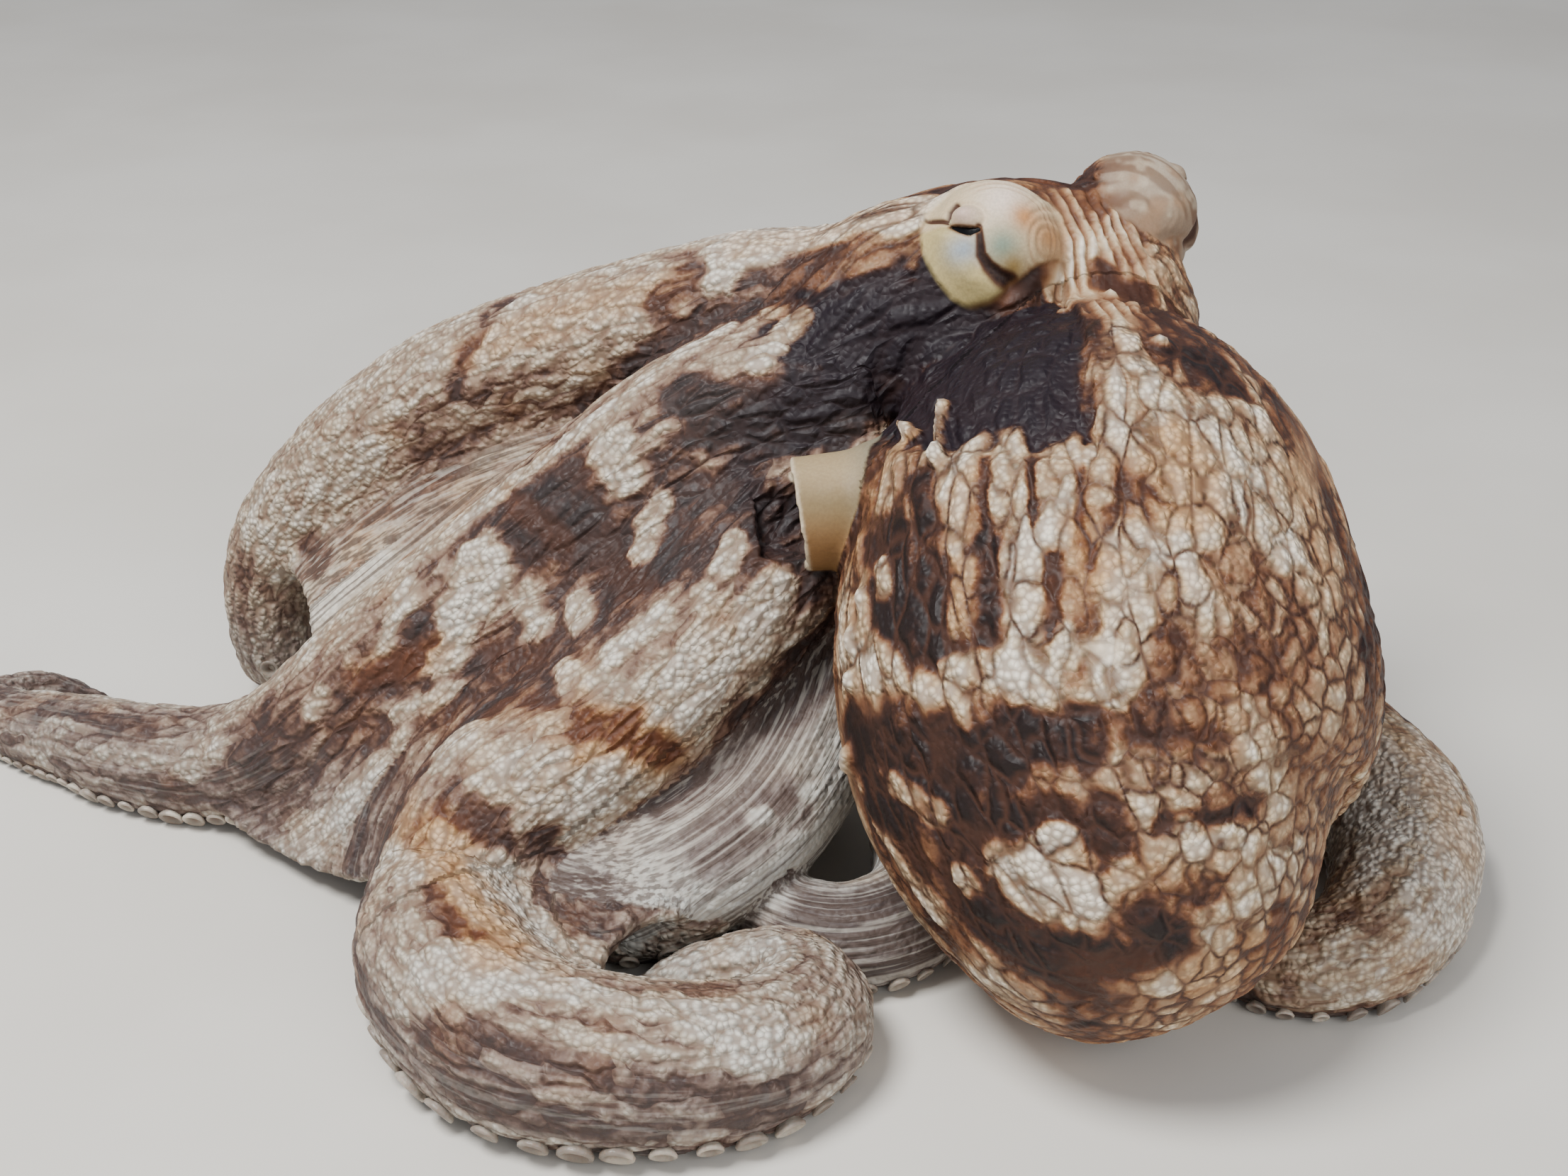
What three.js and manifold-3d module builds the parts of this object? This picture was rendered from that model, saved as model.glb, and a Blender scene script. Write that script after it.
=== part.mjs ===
// A common octopus at life size, sitting on a flat floor: the head is raised, the mantle hangs down in front
// of it, and the arms and their web spread round it like a tent. Millimetres, +Z up.
import * as THREE from "three";
import { mergeVertices } from "three/addons/utils/BufferGeometryUtils.js";
import Module from "manifold-3d";

const wasm = await Module();
wasm.setup();

// ---- Driving dimensions ----

// The animal is laid out round its own head, then moved so that the box's centre is over the origin.
const LAYOUT_SHIFT = [29, -15, 0];
// Clearance left between neighbouring solids.
const GAP = 0.3;

// Mantle: a bag of round section along a gently bowed line from the neck to the tip.
const MANTLE_WIDTH = 121;
const MANTLE_PATH = [[77, 40, 126], [72.5, 4, 99], [72.5, -33, 70], [81.5, -66, 46], [99, -88, 32]];
// The bag is widest at this share of its run. Its outline is a superellipse, with one power on the neck side
// and another towards the tip.
const MANTLE_WIDEST = 0.56;
const MANTLE_SHOULDER = 2.25;
const MANTLE_END = 1.9;
const MANTLE_RINGS = 15;
const MANTLE_SIDES = 22;

// Head: a thick curved neck from the arm crown up to the mantle, with an eye bulge on each side.
const HEAD_PATH = [[8, 46, 112], [32, 50, 131], [64, 54, 138], [82, 47, 129]];
const HEAD_RADII = [25, 27, 25, 19];
// The side of the neck shows where the mantle's margin leaves it bare: left of and above this edge, which runs
// inwards at NECK_SLOPE degrees below level. The neck there lies this deep under the mantle's outline.
const NECK_EDGE = [66, -20, 124];
const NECK_SLOPE = 18;
const NECK_DEPTH = 2;
// The block of space that is cut from the mantle there.
const NECK_WIDE = 100;
const NECK_DEEP = 140;
const NECK_HIGH = 70;
const EYE_BULGE_RADIUS = 16;
const EYE_RADIUS = 10.5;
const EYES = {
  eye_left: { centre: [49.5, 38, 151], gaze: [-0.53, -0.67, 0.52] },
  eye_right: { centre: [86, 63, 151], gaze: [0.82, 0.24, 0.52] },
};
// How far the eyeball stands out of its bulge at the pupil.
const EYE_STANDS_OUT = 0.8;

// Funnel: a short open tube that leaves the mantle opening on the left.
const FUNNEL_PATH = [[46, 6, 98], [26, 0, 101], [4, -3, 101]];
const FUNNEL_RADII = [17, 14.5, 13];
const FUNNEL_WALL = 2.2;
const FUNNEL_DEPTH = 16;

// Arms: centre lines from the crown to the tip, the greatest half thickness, and how long the arm keeps it: the
// half thickness is radius * (1 - share of the run ^ taper). L1 and R1 are the top pair, L4 and R4 the pair
// under the funnel. Each is parted into lengths at these shares of its run.
const ARM_PARTS = [0.3, 0.55, 0.78];
const ARMS = {
  L1: {
    radius: 17,
    taper: 2.6,
    path: [[26, 54, 130], [0, 60, 131], [-46, 70, 117], [-90, 80, 97.5], [-125, 88, 68], [-143, 92, 40],
      [-142, 94, 11], [-124, 112, 9.5], [-96, 124, 8], [-64, 128, 6], [-34, 121, 4], [-22, 104, 2.5],
      [-34, 94, 1]],
  },
  L2: {
    radius: 18.5,
    taper: 3.4,
    path: [[20, 32, 118], [-18, 36, 108], [-60, 31, 77], [-102, 25, 44], [-125, 24, 24], [-146, 29.8, 13],
      [-170, 35.8, 11.5], [-190, 46.8, 10], [-210, 57.8, 8], [-222, 71.8, 6], [-212, 86.9, 3.5],
      [-194, 83.9, 1]],
  },
  L3: {
    radius: 20.5,
    taper: 5,
    path: [[22, 25, 98], [-8, 6, 76], [-42, -12, 48], [-68, -24, 33], [-77, -37.1, 17],
      [-75.5, -62.1, 16.5], [-57, -88.1, 16], [-29, -95.1, 15], [-8, -90.2, 13.5], [5, -76.2, 12],
      [1, -60.1, 10], [-18, -57.1, 7.5], [-36, -62.1, 4], [-46, -54.1, 1]],
  },
  L4: {
    radius: 16,
    taper: 2.4,
    path: [[30, 28, 84], [15, 12, 58], [6, -5, 40], [-5, -21, 29], [-20, -33, 22], [-38, -32, 12],
      [-56, -16, 11], [-70, 4, 10], [-78, 28, 8.5], [-70, 50, 7], [-50, 58, 5.5], [-34, 48, 4],
      [-32, 32, 2.5], [-44, 24, 1]],
  },
  R4: {
    radius: 15,
    taper: 2.4,
    path: [[34, 46, 80], [34, 28, 50], [34, 4, 27], [36, -16, 11.5], [30, -35, 11], [15, -43, 10.5],
      [0, -35, 9.5], [-8, -18, 8.5], [-6, 0, 7.5], [4, 14, 6], [6, 32, 4.5], [-6, 44, 3], [-24, 44, 1]],
  },
  R3: {
    radius: 20.5,
    taper: 4,
    path: [[30, 62, 86], [62, 64, 66], [96, 52, 40], [125, 40, 23], [146, 21, 16.5], [153, -1.2, 15],
      [149, -24.2, 14], [136, -46.1, 12], [120, -53, 10], [107, -45, 7.5], [110, -24.1, 4],
      [122, -14.1, 1]],
  },
  R2: {
    radius: 16.5,
    taper: 2.4,
    path: [[20, 68, 98], [52, 82, 78], [86, 90, 48], [116, 90, 22], [140, 82, 9.5], [154, 66, 8],
      [148, 48, 6], [130, 50, 4.5], [124, 64, 2.5], [134, 70, 1]],
  },
  R1: {
    radius: 16.5,
    taper: 2.4,
    path: [[16, 60, 114], [26, 82, 100], [46, 104, 68], [70, 120, 34], [96, 130, 10], [124, 130, 8.5],
      [146, 118, 6.5], [152, 104, 5], [136, 100, 3], [120, 110, 1]],
  },
};
const ARM_SIDES = 8;
const ARM_STEP = 18;
const ARM_TIP_RADIUS = 1.2;
// Just outside the crown the arm is slimmer, and it fills out over this run.
const ARM_ROOT_SHARE = 0.7;
const ARM_ROOT_RUN = 30;

// Crown: the ring of muscle round the mouth, where the arms begin.
const CROWN_CENTRE = [17, 46, 96];
const CROWN_RADII = [27, 27, 22];

// Web: one sheet between each two neighbouring arms, out to these runs along the two arms. lift raises the
// middle of the sheet, drop lowers the middle of its free edge, scallop draws that edge in, and ride is how far
// the whole sheet lies outside the arms' centre lines.
const WEB_THICKNESS = 4.5;
const WEBS = [
  { arms: ["L1", "L2"], reach: [205, 180], lift: -12, drop: 0, scallop: 0.1, ride: 2 },
  { arms: ["L2", "L3"], reach: [215, 140], lift: 6, drop: 14, scallop: 0, ride: 7 },
  { arms: ["L3", "L4"], reach: [245, 120], lift: 4, drop: 2, scallop: 0.17, ride: 3 },
  { arms: ["L4", "R4"], reach: [80, 80], lift: 0, drop: 0, scallop: 0.1, ride: 3 },
  { arms: ["R4", "R3"], reach: [85, 110], lift: -4, drop: 0, scallop: 0.1, ride: 4 },
  { arms: ["R3", "R2"], reach: [130, 120], lift: -4, drop: 0, scallop: 0.1, ride: 4 },
  { arms: ["R2", "R1"], reach: [110, 110], lift: -4, drop: 0, scallop: 0.1, ride: 4 },
  { arms: ["R1", "L1"], reach: [110, 150], lift: -8, drop: 0, scallop: 0.1, ride: 2 },
];
const WEB_ROWS = 7;
const WEB_COLUMNS = 5;
// The sheets begin this share of their reach out from the arms' roots.
const WEB_START = 0.04;

// How finely the solids are faceted.
const HEAD_STEP = 11;
const HEAD_SIDES = 12;
const EYE_DETAIL = 14;
const CROWN_DETAIL = 12;
const FUNNEL_STEP = 8;
const FUNNEL_SIDES = 14;

// ---- Materials ----

const SKIN = { color: 0xb9a58c, roughness: 0.6, metalness: 0 };
const FUNNEL_SKIN = { color: 0xd9b083, roughness: 0.5, metalness: 0 };
const EYE = { color: 0x2a211a, roughness: 0.15, metalness: 0 };

// ---- Solids: join and cut with manifold-3d ----

function solidOf(geometry) {
  const bare = geometry.clone();
  bare.deleteAttribute("normal");
  bare.deleteAttribute("uv");
  const merged = mergeVertices(bare, 1e-4);
  const corners = merged.index.array;
  const triangles = [];
  for (let i = 0; i < corners.length; i += 3) {
    const [a, b, c] = corners.slice(i, i + 3);
    if (a !== b && b !== c && c !== a) triangles.push(a, b, c);
  }
  return new wasm.Manifold(
    new wasm.Mesh({
      numProp: 3,
      vertProperties: new Float32Array(merged.attributes.position.array),
      triVerts: new Uint32Array(triangles),
    }),
  );
}

function geometryOf(solid) {
  const mesh = solid.getMesh();
  const geometry = new THREE.BufferGeometry();
  geometry.setAttribute("position", new THREE.BufferAttribute(mesh.vertProperties, 3));
  geometry.setIndex(new THREE.BufferAttribute(mesh.triVerts, 1));
  geometry.computeVertexNormals();
  return geometry;
}

function largestBody(solid) {
  const bodies = solid.decompose();
  bodies.sort((a, b) => b.volume() - a.volume());
  return bodies[0];
}

function vector(xyz) {
  return new THREE.Vector3(...xyz);
}

// A closed surface over rings of points: each ring has the same number of points, and flat fans close the ends.
function ringSurface(rings) {
  const sides = rings[0].length;
  const points = [...rings.flat(), centreOf(rings[0]), centreOf(rings.at(-1))];
  const index = [];
  for (let ring = 0; ring + 1 < rings.length; ring++) {
    for (let side = 0; side < sides; side++) {
      const a = ring * sides + side;
      const b = ring * sides + ((side + 1) % sides);
      index.push(a, b, a + sides, b, b + sides, a + sides);
    }
  }
  const start = points.length - 2;
  const last = (rings.length - 1) * sides;
  for (let side = 0; side < sides; side++) {
    const next = (side + 1) % sides;
    index.push(start, next, side);
    index.push(start + 1, last + side, last + next);
  }
  const geometry = new THREE.BufferGeometry().setFromPoints(points);
  geometry.setIndex(index);
  return geometry;
}

function centreOf(ring) {
  const sum = ring.reduce((total, point) => total.add(point), new THREE.Vector3());
  return sum.divideScalar(ring.length);
}

// The closed surface of a sheet: each ring goes down one face and back up the other, and a strip closes each
// end.
function sheetSurface(rings, rows) {
  const sides = rings[0].length;
  const index = [];
  for (let ring = 0; ring + 1 < rings.length; ring++) {
    for (let side = 0; side < sides; side++) {
      const a = ring * sides + side;
      const b = ring * sides + ((side + 1) % sides);
      index.push(a, b, a + sides, b, b + sides, a + sides);
    }
  }
  const last = (rings.length - 1) * sides;
  for (let row = 0; row + 1 < rows; row++) {
    const a = row;
    const b = row + 1;
    const c = sides - 2 - row;
    const d = sides - 1 - row;
    index.push(a, c, b, a, d, c);
    index.push(last + a, last + b, last + c, last + a, last + c, last + d);
  }
  const geometry = new THREE.BufferGeometry().setFromPoints(rings.flat());
  geometry.setIndex(index);
  return geometry;
}

function ellipsoid(centre, radii, detail) {
  const geometry = new THREE.SphereGeometry(1, detail, Math.round(detail * 0.6));
  geometry.scale(...radii);
  geometry.translate(...centre);
  return solidOf(geometry);
}

function ball(centre, radius, detail) {
  return ellipsoid(centre, [radius, radius, radius], detail);
}

// Everything under the floor, cut away from whatever reaches below it.
const belowFloor = solidOf(new THREE.BoxGeometry(900, 900, 100).translate(0, 0, -50));

// ---- Tapered tubes along a curve ----

// Rings at the given runs (mm from the start) along a curve, with the half thickness that radiusAt(run) gives.
function tubeRings(curve, runs, radiusAt, sides) {
  const length = curve.getLength();
  const frameCount = 1000;
  const frames = curve.computeFrenetFrames(frameCount, false);
  return runs.map((run) => {
    const share = THREE.MathUtils.clamp(run / length, 0, 1);
    const past = run - share * length;
    const centre = curve.getPointAt(share).addScaledVector(curve.getTangentAt(share), past);
    const frame = Math.round(share * frameCount);
    const ring = [];
    for (let side = 0; side < sides; side++) {
      const angle = ((side + 0.5) / sides) * 2 * Math.PI;
      ring.push(
        centre
          .clone()
          .addScaledVector(frames.normals[frame], Math.cos(angle) * radiusAt(run))
          .addScaledVector(frames.binormals[frame], Math.sin(angle) * radiusAt(run)),
      );
    }
    return ring;
  });
}

function evenRuns(from, to, step) {
  const count = Math.max(1, Math.round((to - from) / step));
  return Array.from({ length: count + 1 }, (_, i) => from + ((to - from) * i) / count);
}

// ---- Sub-parts: extra grows a solid all round ----

function smoothCurve(path) {
  return new THREE.CatmullRomCurve3(path.map(vector), false, "catmullrom", 0.5);
}

// Half thickness at a run along a curve, by straight steps between evenly spaced values.
function steppedRadius(radii, length, run) {
  const place = THREE.MathUtils.clamp(run / length, 0, 1) * (radii.length - 1);
  const first = Math.min(radii.length - 2, Math.floor(place));
  return THREE.MathUtils.lerp(radii[first], radii[first + 1], place - first);
}

// Half the mantle's width at a share of its run.
function mantleHalfWidth(share) {
  const towardsTip = share > MANTLE_WIDEST;
  const away = towardsTip ? (share - MANTLE_WIDEST) / (1 - MANTLE_WIDEST) : 1 - share / MANTLE_WIDEST;
  const power = towardsTip ? MANTLE_END : MANTLE_SHOULDER;
  return (MANTLE_WIDTH / 2) * (1 - away ** power) ** (1 / power);
}

function mantle(extra) {
  const curve = smoothCurve(MANTLE_PATH);
  const length = curve.getLength();
  const shareOf = (ring) => (1 - Math.cos((Math.PI * (ring + 0.5)) / MANTLE_RINGS)) / 2;
  const shares = Array.from({ length: MANTLE_RINGS }, (_, ring) => shareOf(ring));
  const runs = shares.map((share) => share * (length + 2 * extra) - extra);
  const radiusAt = (run) => mantleHalfWidth((run + extra) / (length + 2 * extra)) + extra;
  return solidOf(ringSurface(tubeRings(curve, runs, radiusAt, MANTLE_SIDES)));
}

// The block of space, grown by extra, that holds the bare side of the neck.
function neckWedge(extra) {
  const geometry = new THREE.BoxGeometry(NECK_WIDE, NECK_DEEP, NECK_HIGH);
  geometry.translate(extra - NECK_WIDE / 2, 0, NECK_HIGH / 2 - extra);
  geometry.rotateX(THREE.MathUtils.degToRad(-NECK_SLOPE));
  geometry.translate(...NECK_EDGE);
  return solidOf(geometry);
}

function head(extra) {
  const curve = smoothCurve(HEAD_PATH);
  const length = curve.getLength();
  const radiusAt = (run) => steppedRadius(HEAD_RADII, length, run) + extra;
  const runs = evenRuns(-extra, length + extra, HEAD_STEP);
  let solid = solidOf(ringSurface(tubeRings(curve, runs, radiusAt, HEAD_SIDES)));
  // The far end is rounded off between the right eye and the mantle.
  solid = solid.add(ball(HEAD_PATH.at(-1), HEAD_RADII.at(-1) + extra, EYE_DETAIL));
  for (const { centre } of Object.values(EYES)) {
    solid = solid.add(ball(centre, EYE_BULGE_RADIUS + extra, EYE_DETAIL));
  }
  const neck = mantle(extra - NECK_DEPTH).intersect(neckWedge(extra - GAP));
  return solid.add(neck);
}

// The eyeball's front stands just out of its bulge.
function eyeball({ centre, gaze }, extra) {
  const outward = vector(gaze).normalize();
  const middle = vector(centre).addScaledVector(outward, EYE_BULGE_RADIUS + EYE_STANDS_OUT - EYE_RADIUS);
  return ball(middle.toArray(), EYE_RADIUS + extra, EYE_DETAIL);
}

function crown(extra) {
  return ellipsoid(CROWN_CENTRE, CROWN_RADII.map((radius) => radius + extra), CROWN_DETAIL);
}

function funnelTube(extra) {
  const curve = smoothCurve(FUNNEL_PATH);
  const length = curve.getLength();
  const radiusAt = (run) => steppedRadius(FUNNEL_RADII, length, run) + extra;
  const runs = evenRuns(-extra, length + extra, FUNNEL_STEP);
  return solidOf(ringSurface(tubeRings(curve, runs, radiusAt, FUNNEL_SIDES)));
}

// The hollow of the funnel's mouth, running past its rim.
function funnelBore() {
  const curve = smoothCurve(FUNNEL_PATH);
  const length = curve.getLength();
  const radiusAt = (run) => steppedRadius(FUNNEL_RADII, length, run) - FUNNEL_WALL;
  const runs = evenRuns(length - FUNNEL_DEPTH, length + FUNNEL_WALL, FUNNEL_STEP);
  return solidOf(ringSurface(tubeRings(curve, runs, radiusAt, FUNNEL_SIDES)));
}

function armRadius(name, length, run) {
  const body = ARMS[name].radius - ARM_TIP_RADIUS;
  const share = THREE.MathUtils.clamp(run / length, 0, 1);
  const root = THREE.MathUtils.lerp(ARM_ROOT_SHARE, 1, THREE.MathUtils.smoothstep(run, 0, ARM_ROOT_RUN));
  return (ARM_TIP_RADIUS + body * (1 - share ** ARMS[name].taper)) * root;
}

// The rings of each length of an arm, as runs from its root.
function armRuns(name) {
  const length = smoothCurve(ARMS[name].path).getLength();
  const cuts = [0, ...ARM_PARTS, 1];
  return cuts.slice(1).map((cut, part) => evenRuns(cuts[part] * length, cut * length, ARM_STEP));
}

function armTube(name, runs, extra) {
  const curve = smoothCurve(ARMS[name].path);
  const length = curve.getLength();
  const radiusAt = (run) => armRadius(name, length, run) + extra;
  return solidOf(ringSurface(tubeRings(curve, runs, radiusAt, ARM_SIDES)));
}

// One length of an arm, half a gap short at the ends that meet the arm's other lengths.
function armLength(name, part) {
  const lengths = armRuns(name);
  const runs = lengths[part];
  if (part > 0) runs[0] += GAP / 2;
  if (part + 1 < lengths.length) runs[runs.length - 1] -= GAP / 2;
  return armTube(name, runs, 0);
}

function wholeArm(name, extra) {
  const runs = armRuns(name).flatMap((length, part) => (part > 0 ? length.slice(1) : length));
  runs[0] -= extra;
  runs[runs.length - 1] += extra;
  return armTube(name, runs, extra);
}

// The middle surface of a web: a grid that spans two arms, row by row outwards from the crown.
function webGrid({ arms, reach, lift, drop, scallop }) {
  const curves = arms.map((name) => smoothCurve(ARMS[name].path));
  const lengths = curves.map((curve) => curve.getLength());
  return Array.from({ length: WEB_ROWS + 1 }, (_, row) =>
    Array.from({ length: WEB_COLUMNS + 1 }, (_, column) => {
      const across = column / WEB_COLUMNS;
      const middle = 4 * across * (1 - across);
      const out = THREE.MathUtils.lerp(WEB_START, 1 - scallop * middle, row / WEB_ROWS);
      const ends = curves.map((curve, i) => curve.getPointAt((out * reach[i]) / lengths[i]));
      const point = ends[0].lerp(ends[1], across);
      point.z += lift * middle * Math.sin(Math.PI * out) - drop * middle * out ** 4;
      return point;
    }),
  );
}

// A sheet of even thickness, lying this far (ride) outside a grid of points.
function thickSheet(grid, thickness, ride) {
  const rows = grid.length;
  const columns = grid[0].length;
  const shifted = (sign) =>
    grid.map((line, row) =>
      line.map((point, column) => {
        const before = grid[Math.max(row - 1, 0)][column];
        const after = grid[Math.min(row + 1, rows - 1)][column];
        const across = line[Math.min(column + 1, columns - 1)].clone().sub(line[Math.max(column - 1, 0)]);
        const outOfTent = after.clone().sub(before).cross(across).normalize();
        return point.clone().addScaledVector(outOfTent, ride + (sign * thickness) / 2);
      }),
    );
  const upper = shifted(1);
  const lower = shifted(-1);
  // Each column is one closed ring: down its upper face and back up its lower face.
  const rings = Array.from({ length: columns }, (_, column) => [
    ...upper.map((line) => line[column]),
    ...lower.map((line) => line[column]).reverse(),
  ]);
  return sheetSurface(rings, rows);
}

// ---- Assembly: each solid gives way, by the gap, to those placed before it ----

const octopus = new THREE.Group();
octopus.position.set(...LAYOUT_SHIFT);
const placed = [];

function place(name, solid, look) {
  let shaped = solid.subtract(belowFloor);
  for (const other of placed) {
    shaped = shaped.subtract(other);
  }
  const mesh = new THREE.Mesh(geometryOf(largestBody(shaped)), new THREE.MeshStandardMaterial(look));
  mesh.name = name;
  octopus.add(mesh);
}

for (const [name, eye] of Object.entries(EYES)) {
  place(name, eyeball(eye, 0), EYE);
  placed.push(eyeball(eye, GAP));
}

place("head", head(0), SKIN);
placed.push(head(GAP));

place("mantle", mantle(0).subtract(neckWedge(0)), SKIN);
placed.push(mantle(GAP));

place("funnel", funnelTube(0).subtract(funnelBore()), FUNNEL_SKIN);
placed.push(funnelTube(GAP));

place("crown", crown(0), SKIN);
placed.push(crown(GAP));

for (const name of Object.keys(ARMS)) {
  for (let part = 0; part <= ARM_PARTS.length; part++) {
    place(`arm_${name}_${part + 1}`, armLength(name, part), SKIN);
  }
  placed.push(wholeArm(name, GAP));
}

for (const web of WEBS) {
  const grid = webGrid(web);
  place(`web_${web.arms.join("_")}`, solidOf(thickSheet(grid, WEB_THICKNESS, web.ride)), SKIN);
  placed.push(solidOf(thickSheet(grid, WEB_THICKNESS + 2 * GAP, web.ride)));
}

export default octopus;
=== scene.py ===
"""The looks of a common octopus at rest: one wet, mottled skin over the body, the eyes and the suckers.

Lengths are in millimetres, in the frame of the CAD part, until a mesh is made from them."""
import math

import bmesh
import bpy
import numpy as np
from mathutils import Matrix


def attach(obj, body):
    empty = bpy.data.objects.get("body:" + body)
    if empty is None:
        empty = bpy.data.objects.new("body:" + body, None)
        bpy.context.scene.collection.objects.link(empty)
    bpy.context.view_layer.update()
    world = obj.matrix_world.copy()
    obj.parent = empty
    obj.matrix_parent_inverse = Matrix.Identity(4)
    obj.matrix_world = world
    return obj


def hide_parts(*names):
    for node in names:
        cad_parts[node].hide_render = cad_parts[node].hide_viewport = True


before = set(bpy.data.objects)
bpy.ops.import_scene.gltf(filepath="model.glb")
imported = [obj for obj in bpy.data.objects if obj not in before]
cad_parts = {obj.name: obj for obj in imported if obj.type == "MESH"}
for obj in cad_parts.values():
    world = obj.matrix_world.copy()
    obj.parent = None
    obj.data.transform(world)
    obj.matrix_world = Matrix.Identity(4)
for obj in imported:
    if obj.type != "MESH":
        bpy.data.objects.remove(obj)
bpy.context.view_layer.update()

import openvdb
from mathutils import Matrix, Vector
from mathutils.kdtree import KDTree

MM = 0.001

# ---- Driving dimensions, as in the CAD part ----

# The animal is laid out round its own head, then moved so that the box's centre is over the origin.
LAYOUT_SHIFT = np.array([29.0, -15.0, 0.0])

MANTLE_WIDTH = 121
MANTLE_PATH = [[77, 40, 126], [72.5, 4, 99], [72.5, -33, 70], [81.5, -66, 46], [99, -88, 32]]
MANTLE_WIDEST = 0.56
MANTLE_SHOULDER = 2.25
MANTLE_END = 1.9

HEAD_PATH = [[8, 46, 112], [32, 50, 131], [64, 54, 138], [82, 47, 129]]
HEAD_RADII = [25, 27, 25, 19]
# Left of this edge and above this slope, in degrees, the mantle leaves the neck bare: it is cut back
# this deep there, over a soft step. It runs into the head more widely from the lower height to the upper.
NECK_EDGE = [66, -20, 124]
NECK_SLOPE = 18
NECK_DEPTH = 2
NECK_STEP = 0.8
NECK_HEIGHTS = (104, 124)
NECK_BLEND = 15
EDGE_BLEND = 3
EYE_BULGE_RADIUS = 16
EYE_RADIUS = 10.5
EYE_STANDS_OUT = 0.8
EYES = {
    "eye_left": {"centre": [49.5, 38, 151], "gaze": [-0.53, -0.67, 0.52]},
    "eye_right": {"centre": [86, 63, 151], "gaze": [0.82, 0.24, 0.52]},
}

FUNNEL_PATH = [[46, 6, 98], [26, 0, 101], [4, -3, 101]]
FUNNEL_RADII = [17, 14.5, 13]
FUNNEL_WALL = 2.2
FUNNEL_DEPTH = 16
FUNNEL_LIP = 5
FUNNEL_RIM = ((1113, 645), (1138, 795))

ARMS = {
    "L1": {
        "radius": 17,
        "taper": 2.6,
        "path": [[26, 54, 130], [0, 60, 131], [-46, 70, 117], [-90, 80, 97.5], [-125, 88, 68],
                 [-143, 92, 40], [-142, 94, 11], [-124, 112, 9.5], [-96, 124, 8], [-64, 128, 6],
                 [-34, 121, 4], [-22, 104, 2.5], [-34, 94, 1]],
    },
    "L2": {
        "radius": 18.5,
        "taper": 3.4,
        "path": [[20, 32, 118], [-18, 36, 108], [-60, 31, 77], [-102, 25, 44], [-125, 24, 24],
                 [-146, 29.8, 13], [-170, 35.8, 11.5], [-190, 46.8, 10], [-210, 57.8, 8],
                 [-222, 71.8, 6], [-212, 86.9, 3.5], [-194, 83.9, 1]],
    },
    "L3": {
        "radius": 20.5,
        "taper": 5,
        "path": [[22, 25, 98], [-8, 6, 76], [-42, -12, 48], [-68, -24, 33], [-77, -37.1, 17],
                 [-75.5, -62.1, 16.5], [-57, -88.1, 16], [-29, -95.1, 15], [-8, -90.2, 13.5],
                 [5, -76.2, 12], [1, -60.1, 10],
                 [-18, -57.1, 7.5], [-36, -62.1, 4], [-46, -54.1, 1]],
    },
    "L4": {
        "radius": 16,
        "taper": 2.4,
        "path": [[30, 28, 84], [15, 12, 58], [6, -5, 40], [-5, -21, 29], [-20, -33, 22], [-38, -32, 12],
                 [-56, -16, 11], [-70, 4, 10], [-78, 28, 8.5], [-70, 50, 7], [-50, 58, 5.5], [-34, 48, 4],
                 [-32, 32, 2.5], [-44, 24, 1]],
    },
    "R4": {
        "radius": 15,
        "taper": 2.4,
        "path": [[34, 46, 80], [34, 28, 50], [34, 4, 27], [36, -16, 11.5], [30, -35, 11], [15, -43, 10.5],
                 [0, -35, 9.5], [-8, -18, 8.5], [-6, 0, 7.5], [4, 14, 6], [6, 32, 4.5], [-6, 44, 3],
                 [-24, 44, 1]],
    },
    "R3": {
        "radius": 20.5,
        "taper": 4,
        "path": [[30, 62, 86], [62, 64, 66], [96, 52, 40], [125, 40, 23], [146, 21, 16.5], [153, -1.2, 15],
                 [149, -24.2, 14], [136, -46.1, 12], [120, -53, 10], [107, -45, 7.5], [110, -24.1, 4],
                 [122, -14.1, 1]],
    },
    "R2": {
        "radius": 16.5,
        "taper": 2.4,
        "path": [[20, 68, 98], [52, 82, 78], [86, 90, 48], [116, 90, 22], [140, 82, 9.5], [154, 66, 8],
                 [148, 48, 6], [130, 50, 4.5], [124, 64, 2.5], [134, 70, 1]],
    },
    "R1": {
        "radius": 16.5,
        "taper": 2.4,
        "path": [[16, 60, 114], [26, 82, 100], [46, 104, 68], [70, 120, 34], [96, 130, 10], [124, 130, 8.5],
                 [146, 118, 6.5], [152, 104, 5], [136, 100, 3], [120, 110, 1]],
    },
}
ARM_TIP_RADIUS = 1.2
ARM_ROOT_SHARE = 0.7
ARM_ROOT_RUN = 30

CROWN_CENTRE = [17, 46, 96]
CROWN_RADII = [27, 27, 22]

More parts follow.
